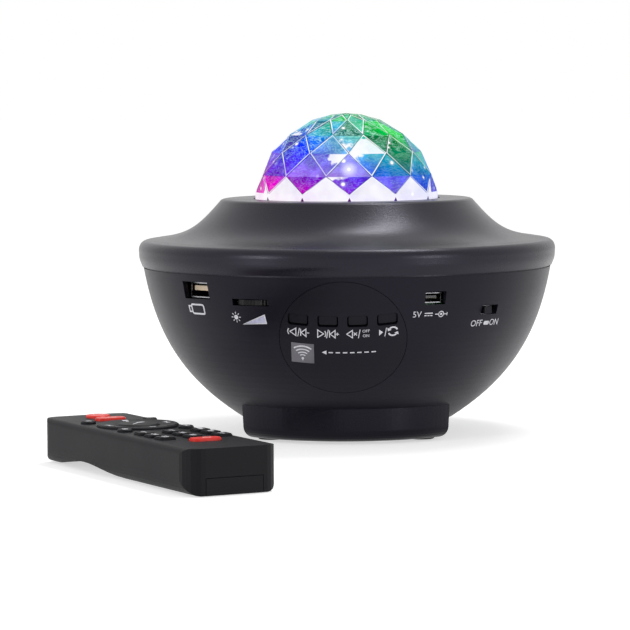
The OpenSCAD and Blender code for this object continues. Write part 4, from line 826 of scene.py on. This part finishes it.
def build_dome():
    bm = bmesh.new()
    white = bm.loops.layers.float.new("whiteness")
    tone = bm.faces.layers.float.new("tone")
    shift = bm.faces.layers.float.new("shift")
    looks = facet_looks()
    n = DOME_SIDES

    def add_face(corners, material, look=(0, 1), whites=None):
        face = bm.faces.new(corners)
        face.material_index = material
        face[shift], face[tone] = look
        for loop in face.loops:
            loop[white] = whites.get(loop.vert, 0) if whites else 0

    outer, top = dome_corners(bm, DOME_R)
    inner, inner_top = dome_corners(bm, DOME_R - DOME_WALL)
    splits = {}

    def split(a, b, reach):
        along = (b.co - a.co).normalized() * reach
        splits[a, b] = bm.verts.new(a.co + along), bm.verts.new(b.co - along)

    for k, ring_corners in enumerate(outer):
        reach = FOOT_HALF if k == 0 else LIGHT_LINE if k % 2 else DARK_LINE
        for j in range(n):
            split(ring_corners[j], ring_corners[(j + 1) % n], reach)
    feet = []
    for low, high in zip(outer[0], outer[1]):
        share = (COLLAR_Z + FOOT_RISE - low.co.z) / (high.co.z - low.co.z)
        feet.append(bm.verts.new(low.co.lerp(high.co, share)))
    for j in range(n):
        m = (j + 1) % n
        near, far = splits[outer[1][j], outer[1][m]]
        left, right = splits[outer[0][j], outer[0][m]]
        add_face((left, right, feet[m], outer[1][m], far, near, outer[1][j], feet[j]), CLEAR)
        add_face((outer[0][j], left, feet[j]), DARK_EDGE, (-0.1, 1))
        add_face((right, outer[0][m], feet[m]), DARK_EDGE, (-0.1, 1))
        ends = (inner[0][m], inner[0][j], inner[1][j], inner[1][m])
        add_face(ends, LIT, (0, 1), dict.fromkeys(ends, WHITEST))
        add_face((outer[0][m], right, left, outer[0][j], inner[0][j], inner[0][m]), CLEAR)
    for kind, k, j, a, b, c in facets(outer, top):
        near, far = splits[a, b]
        share = (far.co - near.co).length / (b.co - a.co).length
        tip = bm.verts.new(near.co + (c.co - a.co) * share)
        line = DARK_EDGE if (k % 2 == 0) == (kind == "upright") else BRIGHT_EDGE
        for corners, material in (((near, far, tip), CLEAR), ((a, near, tip, c), line), ((far, b, c, tip), line)):
            add_face(corners if kind == "upright" else corners[::-1], material, looks[kind, k, j])
    for kind, k, j, a, b, c in facets(inner, inner_top):
        table = WHITE_UPRIGHT if kind == "upright" else WHITE_HANGING
        corners = (a, b, c) if kind == "upright" else (c, b, a)
        plain = WHITEST if kind == "upright" and k == 1 else 0
        values = table.get((k, j), (plain, plain, plain))
        add_face(corners[::-1], LIT, looks[kind, k, j], dict(zip(corners, values)))
        if kind == "upright" and (k, j) == GLOW:
            glow_at = (a.co + b.co + c.co) / 3
    mesh = mesh_of("dome", bm)
    piece = placed("dome", mesh)
    for material in (clear("dome_clear", (1, 1, 1, 1), 0.0, ior=1.06), dome_light("dome_light", glow_at),
                     dome_edge("dome_edge_light", True), dome_edge("dome_edge_dark", False)):
        mesh.materials.append(material)
    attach(piece, ROOT)
    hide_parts("dome_lens")
    flange = flange_ring(flange_high.x, DOME_R * FLANGE_IN)
    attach(flange, ROOT)
    flange.data.materials.append(mesh.materials[CLEAR])


def flange_ring(outer_r, inner_r):
    """The flange that the collar holds down."""
    bm = bmesh.new()
    section = [(inner_r, 0), (outer_r, 0), (outer_r, FLANGE_T), (inner_r, FLANGE_T)]
    rows = [[bm.verts.new((r * math.cos(a), r * math.sin(a), flange_low.z + z)) for r, z in section]
            for a in (2 * math.pi * i / FLANGE_STEPS for i in range(FLANGE_STEPS))]
    for i, row in enumerate(rows):
        after = rows[(i + 1) % FLANGE_STEPS]
        for k in range(len(section)):
            m = (k + 1) % len(section)
            bm.faces.new((row[k], after[k], after[m], row[m]))
    bmesh.ops.recalc_face_normals(bm, faces=bm.faces[:])
    return placed("dome_flange", mesh_of("dome_flange", bm))


# the light's colours, from the dome's foot on the media socket's side to its top on the switch's side
LIGHT = [(0, srgb(255, 0, 205)), (0.13, srgb(214, 0, 205)), (0.26, srgb(130, 15, 228)), (0.38, srgb(88, 52, 242)),
         (0.49, srgb(14, 42, 252)), (0.6, srgb(18, 122, 232)), (0.7, srgb(24, 196, 224)),
         (0.79, srgb(14, 206, 150)), (0.89, srgb(0, 205, 66)), (1, srgb(14, 222, 0))]
ALONG_X = 0.42              # how much of the light's change runs across, and how much up
ALONG_Z = 0.62
DRIFT = 0.08                # how far the colours stray from their places
STARS = 215                 # scale of the star glints, in cells a metre
STAR_CORE = (1.3 * MM, 0.5 * MM)    # radii at which the brightest star's core starts and is full
STAR_HALO = (4.2 * MM, 0.6 * MM)    # and its halo
WHITE = (1, 1, 1, 1)
BLACK = (0, 0, 0, 1)


def face_value(s, name):
    node = s.add("ShaderNodeAttribute", attribute_type="GEOMETRY", attribute_name=name)
    return node.outputs["Fac"]


def grey(s, value):
    node = s.add("ShaderNodeCombineColor")
    for socket in node.inputs:
        s.feed(value, socket)
    return node.outputs[0]


def dome_colour(s):
    """The light's colour, from the place on the dome and the facet's shift, and the place's height up the dome."""
    parts = s.add("ShaderNodeSeparateXYZ")
    s.feed(s.place, parts.inputs[0])
    across = s.math("MULTIPLY_ADD", parts.outputs["X"], 0.5 / DOME_R, 0.5)
    rise = s.math("DIVIDE", s.math("SUBTRACT", parts.outputs["Z"], dome_z), DOME_R)
    at = s.math("ADD", s.math("MULTIPLY_ADD", across, ALONG_X, face_value(s, "shift")),
                s.math("MULTIPLY", rise, ALONG_Z))
    drift = s.math("MULTIPLY_ADD", s.noise(70, 2, 0.5), 2 * DRIFT, -DRIFT)
    colour = s.ramp(s.math("ADD", at, drift), LIGHT)
    tone = face_value(s, "tone")
    colour = s.mix(1.0, colour, grey(s, s.math("MINIMUM", tone, 1.0)), "MULTIPLY")
    return s.mix(s.math("MAXIMUM", s.math("SUBTRACT", tone, 1.0), 0.0), colour, WHITE), rise


def glowing(s, colour):
    """The material with that colour as its own light, almost black under the lamps."""
    s.link(s.mix(0.95, colour, BLACK), "Base Color")
    s.link(colour, "Emission Color")
    s.set(Emission_Strength=1.0)
    return s.material


def dome_light(name, glow_at):
    """The inner facets: coloured light, painted white reflections, painted star glints and painted streaks of light
    near the top.
    """
    s = Shader(name, Roughness=0.4, Specular_IOR_Level=0.0)
    colour, rise = dome_colour(s)
    shade = s.span(s.noise(90, 3, 0.6), 0.35, 0.6, 0.7, 1.15)
    colour = s.mix(1.0, colour, grey(s, shade), "MULTIPLY")
    # painted streaks of light, where the light crosses the far facets
    streak = s.noise(150, 4, 0.7, s.stretched(1, 1, 2.4), 2.5)
    lines = s.math("MULTIPLY", s.span(s.math("ABSOLUTE", s.math("SUBTRACT", streak, 0.5)), 0.03, 0.0),
                   s.span(rise, 0.4, 0.85, 0.25, 0.85))
    colour = s.mix(lines, colour, srgb(200, 255, 245))
    # painted white reflections, in patches
    whiteness = face_value(s, "whiteness")
    patch = s.span(s.math("ADD", whiteness, s.math("MULTIPLY", s.noise(260, 3, 0.6), 0.7)), 0.93, 1.03)
    pale = s.mix(s.span(s.noise(120, 2), 0.3, 0.7, 0.8, 0.96), colour, (0.96, 0.95, 0.99, 1))
    colour = s.mix(patch, colour, pale)
    # painted star glints of many sizes, and the brightest one
    spots = s.cells(STARS)
    draw = s.add("ShaderNodeSeparateColor")
    s.feed(spots.outputs["Color"], draw.inputs[0])
    size = s.span(draw.outputs[0], 0.05, 1.0, 0.0, 0.2)
    past = s.math("SUBTRACT", spots.outputs["Distance"], size)
    core = s.span(past, 0.0, -0.06)
    halo = s.math("MULTIPLY", s.span(past, 0.16, -0.05), 0.28)
    reach = s.add("ShaderNodeVectorMath", operation="DISTANCE")
    s.feed(s.place, reach.inputs[0])
    reach.inputs[1].default_value = glow_at
    far = reach.outputs["Value"]
    star = s.math("MAXIMUM", s.span(far, *STAR_CORE), s.math("MULTIPLY", s.span(far, *STAR_HALO), 0.6))
    return glowing(s, s.mix(s.math("MAXIMUM", s.math("MAXIMUM", core, halo), star), colour, WHITE))


def dome_edge(name, light):
    """The lines where facets meet: a painted highlight on one side, painted shade on the other."""
    s = Shader(name, Roughness=0.4, Specular_IOR_Level=0.0)
    colour, _ = dome_colour(s)
    broken = s.span(s.noise(110, 2), 0.35, 0.62)
    if light:
        colour = s.mix(s.span(broken, 0, 1, 0.5, 0.95), colour, (0.92, 1, 1, 1))
    else:
        colour = s.mix(s.span(broken, 0, 1, 0.55, 0.9), colour, srgb(10, 12, 60))
    return glowing(s, colour)


build_dome()

# ---------- floor, surroundings and lamps ----------

AMBIENT = 0.62              # strength of the surroundings as light on the object
FLOOR_R = 9                 # in metres
FLOOR_DROP = 0.0003         # how far the floor lies under the object, in metres
FLOOR_LIFT = 0.58           # glow that brings the floor up to white where it is seen


def seen_directly(tree):
    """1 for rays that should meet a white background, as a node socket."""
    path = tree.nodes.new("ShaderNodeLightPath")
    total = path.outputs["Is Camera Ray"]
    for name in ("Is Glossy Ray", "Is Transmission Ray"):
        both = tree.nodes.new("ShaderNodeMath")
        both.operation = "MAXIMUM"
        tree.links.new(total, both.inputs[0])
        tree.links.new(path.outputs[name], both.inputs[1])
        total = both.outputs[0]
    return total


def make_floor():
    bm = bmesh.new()
    bmesh.ops.create_circle(bm, cap_ends=True, segments=64, radius=FLOOR_R)
    mesh = mesh_of("floor", bm)
    floor = placed("floor", mesh)
    floor.location.z = -FLOOR_DROP
    s = Shader("floor_pale", Base_Color=(0.7, 0.7, 0.7, 1), Roughness=0.9, Specular_IOR_Level=0.0,
               Emission_Color=WHITE)
    s.link(s.math("MULTIPLY", seen_directly(s.tree), FLOOR_LIFT), "Emission Strength")
    mesh.materials.append(s.material)


def make_world():
    world = bpy.data.worlds.new("surroundings")
    world.use_nodes = True
    bpy.context.scene.world = world
    tree = world.node_tree
    background = tree.nodes["Background"]
    background.inputs["Color"].default_value = WHITE
    strength = tree.nodes.new("ShaderNodeMapRange")
    tree.links.new(seen_directly(tree), strength.inputs["Value"])
    strength.inputs["To Min"].default_value = AMBIENT
    tree.links.new(strength.outputs["Result"], background.inputs["Strength"])


def area_lamp(name, place, target, size, watts):
    data = bpy.data.lights.new(name, "AREA")
    data.shape = "RECTANGLE"
    data.size, data.size_y = size
    data.energy = watts
    lamp = placed(name, data)
    lamp.location = place
    lamp.rotation_euler = (Vector(target) - Vector(place)).to_track_quat("-Z", "Y").to_euler()


make_floor()
make_world()
area_lamp("key_lamp", (0.22, 0.16, 1.05), (0.02, -0.04, 0.09), (0.5, 0.2), 4.4)
area_lamp("left_lamp", (-1.0, -0.95, 0.32), (0, 0, 0.04), (0.16, 0.5), 4)
area_lamp("right_lamp", (1.0, -0.95, 0.26), (0, 0, 0.04), (0.16, 0.5), 3)

scene = bpy.context.scene
scene.view_settings.view_transform = "Standard"

bpy.context.view_layer.update()
